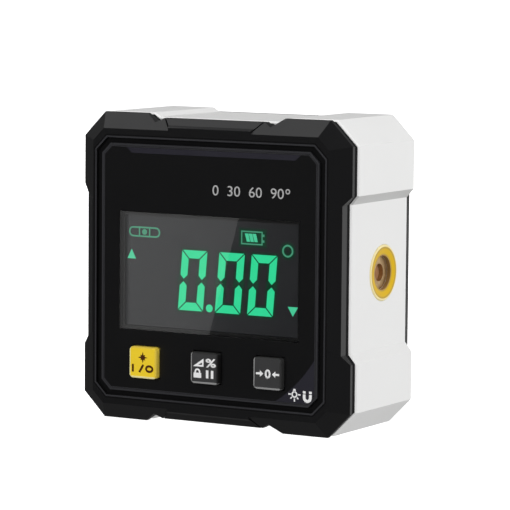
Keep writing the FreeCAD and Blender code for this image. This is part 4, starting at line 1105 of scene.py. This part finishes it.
# %% [markdown]
# Metal fittings
#
# The magnets are nickel plated, with faint swirls from the tumbling drum. The screws are black zinc plated,
# with faint blotches. The battery contacts are bright spring steel.

# %% Metal finishes
PLATING_SPOT = 0.8 * MM
PLATING_DEPTH = 0.004 * MM


def plated(name, dull, bright, roughness):
    """Plated metal with faint blotches."""
    finish = Finish(name, {"Metallic": 1.0})
    finish.cloudy(dull, bright, PLATING_SPOT, roughness, 0.18, detail=4)
    finish.emboss(finish.speckle(GRAIN_SIZE), PLATING_DEPTH, 0.4)
    return finish


nickel = plated("nickel_plating", (0.60, 0.59, 0.57), (0.78, 0.77, 0.75), 0.2)
black_zinc = plated("black_zinc", (0.07, 0.07, 0.075), (0.16, 0.16, 0.17), 0.3)
spring_steel = plated("spring_steel", (0.62, 0.62, 0.62), (0.80, 0.80, 0.80), 0.18)

dress(nickel, "base_magnets", "clock_crystal", edge=0.1)
dress(black_zinc, "case_screws", "board_screws", edge=0.08)
dress(spring_steel, "positive_contact", "negative_contact", "bridge_contact")
print("metal pieces are dressed")

# %% [markdown]
# Inside the box
#
# The board, its parts and the two cells are seen only when the battery door is open or the box is taken apart,
# and they get their finish all the same. The board has a green coat over copper tracks that show as a slightly
# raised pattern. Each cell has a printed sleeve that leaves its steel ends bare.

# %% Board and its parts
TRACKS_PER_METRE = 260.0
TRACK_DEPTH = 0.03 * MM
green_coat = Finish("green_coat", {"Specular IOR Level": 0.6})
sockets = {"Vector": green_coat.place(), "Scale": TRACKS_PER_METRE, "Mortar Size": 0.035}
tracks = green_coat.add("ShaderNodeTexBrick", {"offset": 0.37}, sockets, output="Fac")
green_coat.vary("Base Color", green_coat.blend((0.012, 0.09, 0.035), (0.02, 0.16, 0.06), tracks))
green_coat.vary("Roughness", 0.3 + tracks * 0.15)
green_coat.emboss(tracks, TRACK_DEPTH, 0.6)

black_resin = moulded("black_resin", (0.02, 0.02, 0.021), (0.03, 0.03, 0.032), 0.55)
brown_ceramic = moulded("brown_ceramic", (0.40, 0.26, 0.14), (0.50, 0.34, 0.19), 0.5)
beige_plastic = moulded("beige_plastic", (0.42, 0.37, 0.29), (0.48, 0.42, 0.33), 0.45)
pink_rubber = moulded("pink_rubber", (0.60, 0.26, 0.26), (0.68, 0.32, 0.30), 0.7, sheen=0.3)
milky_guide = moulded("milky_guide", (0.78, 0.86, 0.83), (0.84, 0.90, 0.88), 0.35)

dress(green_coat, "main_board", "laser_board")
dress(black_resin, "microcontroller", "tilt_sensor", edge=0.08)
dress(black_resin, "power_switch", "hold_switch", "zero_switch", edge=0.08)
dress(beige_plastic, "power_plunger", "hold_plunger", "zero_plunger", edge=0.08)
dress(brown_ceramic, "board_capacitors", edge=0.08)
dress(pink_rubber, "lcd_connector")
dress(milky_guide, "backlight_guide", "backlight_leds")
print("board and its parts are dressed")

# %% Cells
BARE_END = 1.9 * MM
BAND_END = 9 * MM


def cell_sleeve(node, name):
    """Printed sleeve with a pale band, on a steel can whose two ends stay bare."""
    low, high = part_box(node)
    middle = (low.z + high.z) / 2
    half = (high.z - low.z) / 2
    finish = Finish(name, {})
    from_middle = abs(finish.along("Z") - middle)
    bare = from_middle > half - BARE_END
    pale_band = from_middle > half - BAND_END
    cloud = finish.speckle(8 * MM)
    sleeve = finish.blend((0.012, 0.05, 0.16), (0.018, 0.065, 0.20), cloud)
    sleeve = finish.blend(sleeve, (0.62, 0.64, 0.66), pale_band)
    finish.vary("Base Color", finish.blend(sleeve, (0.70, 0.70, 0.70), bare))
    finish.vary("Metallic", bare)
    finish.vary("Roughness", 0.26 + cloud * 0.1)
    dress(finish, node, edge=0.25)


cell_sleeve("left_cell", "left_sleeve")
cell_sleeve("right_cell", "right_sleeve")
print("cells are dressed")

# %% [markdown]
# The mark on the back
#
# A battery door has a moulded arrow that shows where to press. It is a flat solid like the signs in front,
# turned to the back, in the colour of the plastic that it stands on, so only its edges show.

# %% Moulded arrow on the door
door_low, door_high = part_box("battery_door")
door_middle = (door_low.x + door_high.x) / 2 / MM
BACK_FACE = door_high.y / MM
ARROW_RISE, ARROW_SUNK = 0.12, 0.05
ARROW_DROP, ARROW_HALF, ARROW_TALL = 11.5, 2.2, 2.4
low = door_high.z / MM - middle_height - ARROW_DROP
corners = [(door_middle - ARROW_HALF, low), (door_middle + ARROW_HALF, low), (door_middle, low + ARROW_TALL)]
arrow_face = BACK_FACE - ARROW_SUNK + ARROW_RISE
flat_piece("door_arrow", [(corners,)], arrow_face, black_satin, "door", rise=ARROW_RISE)
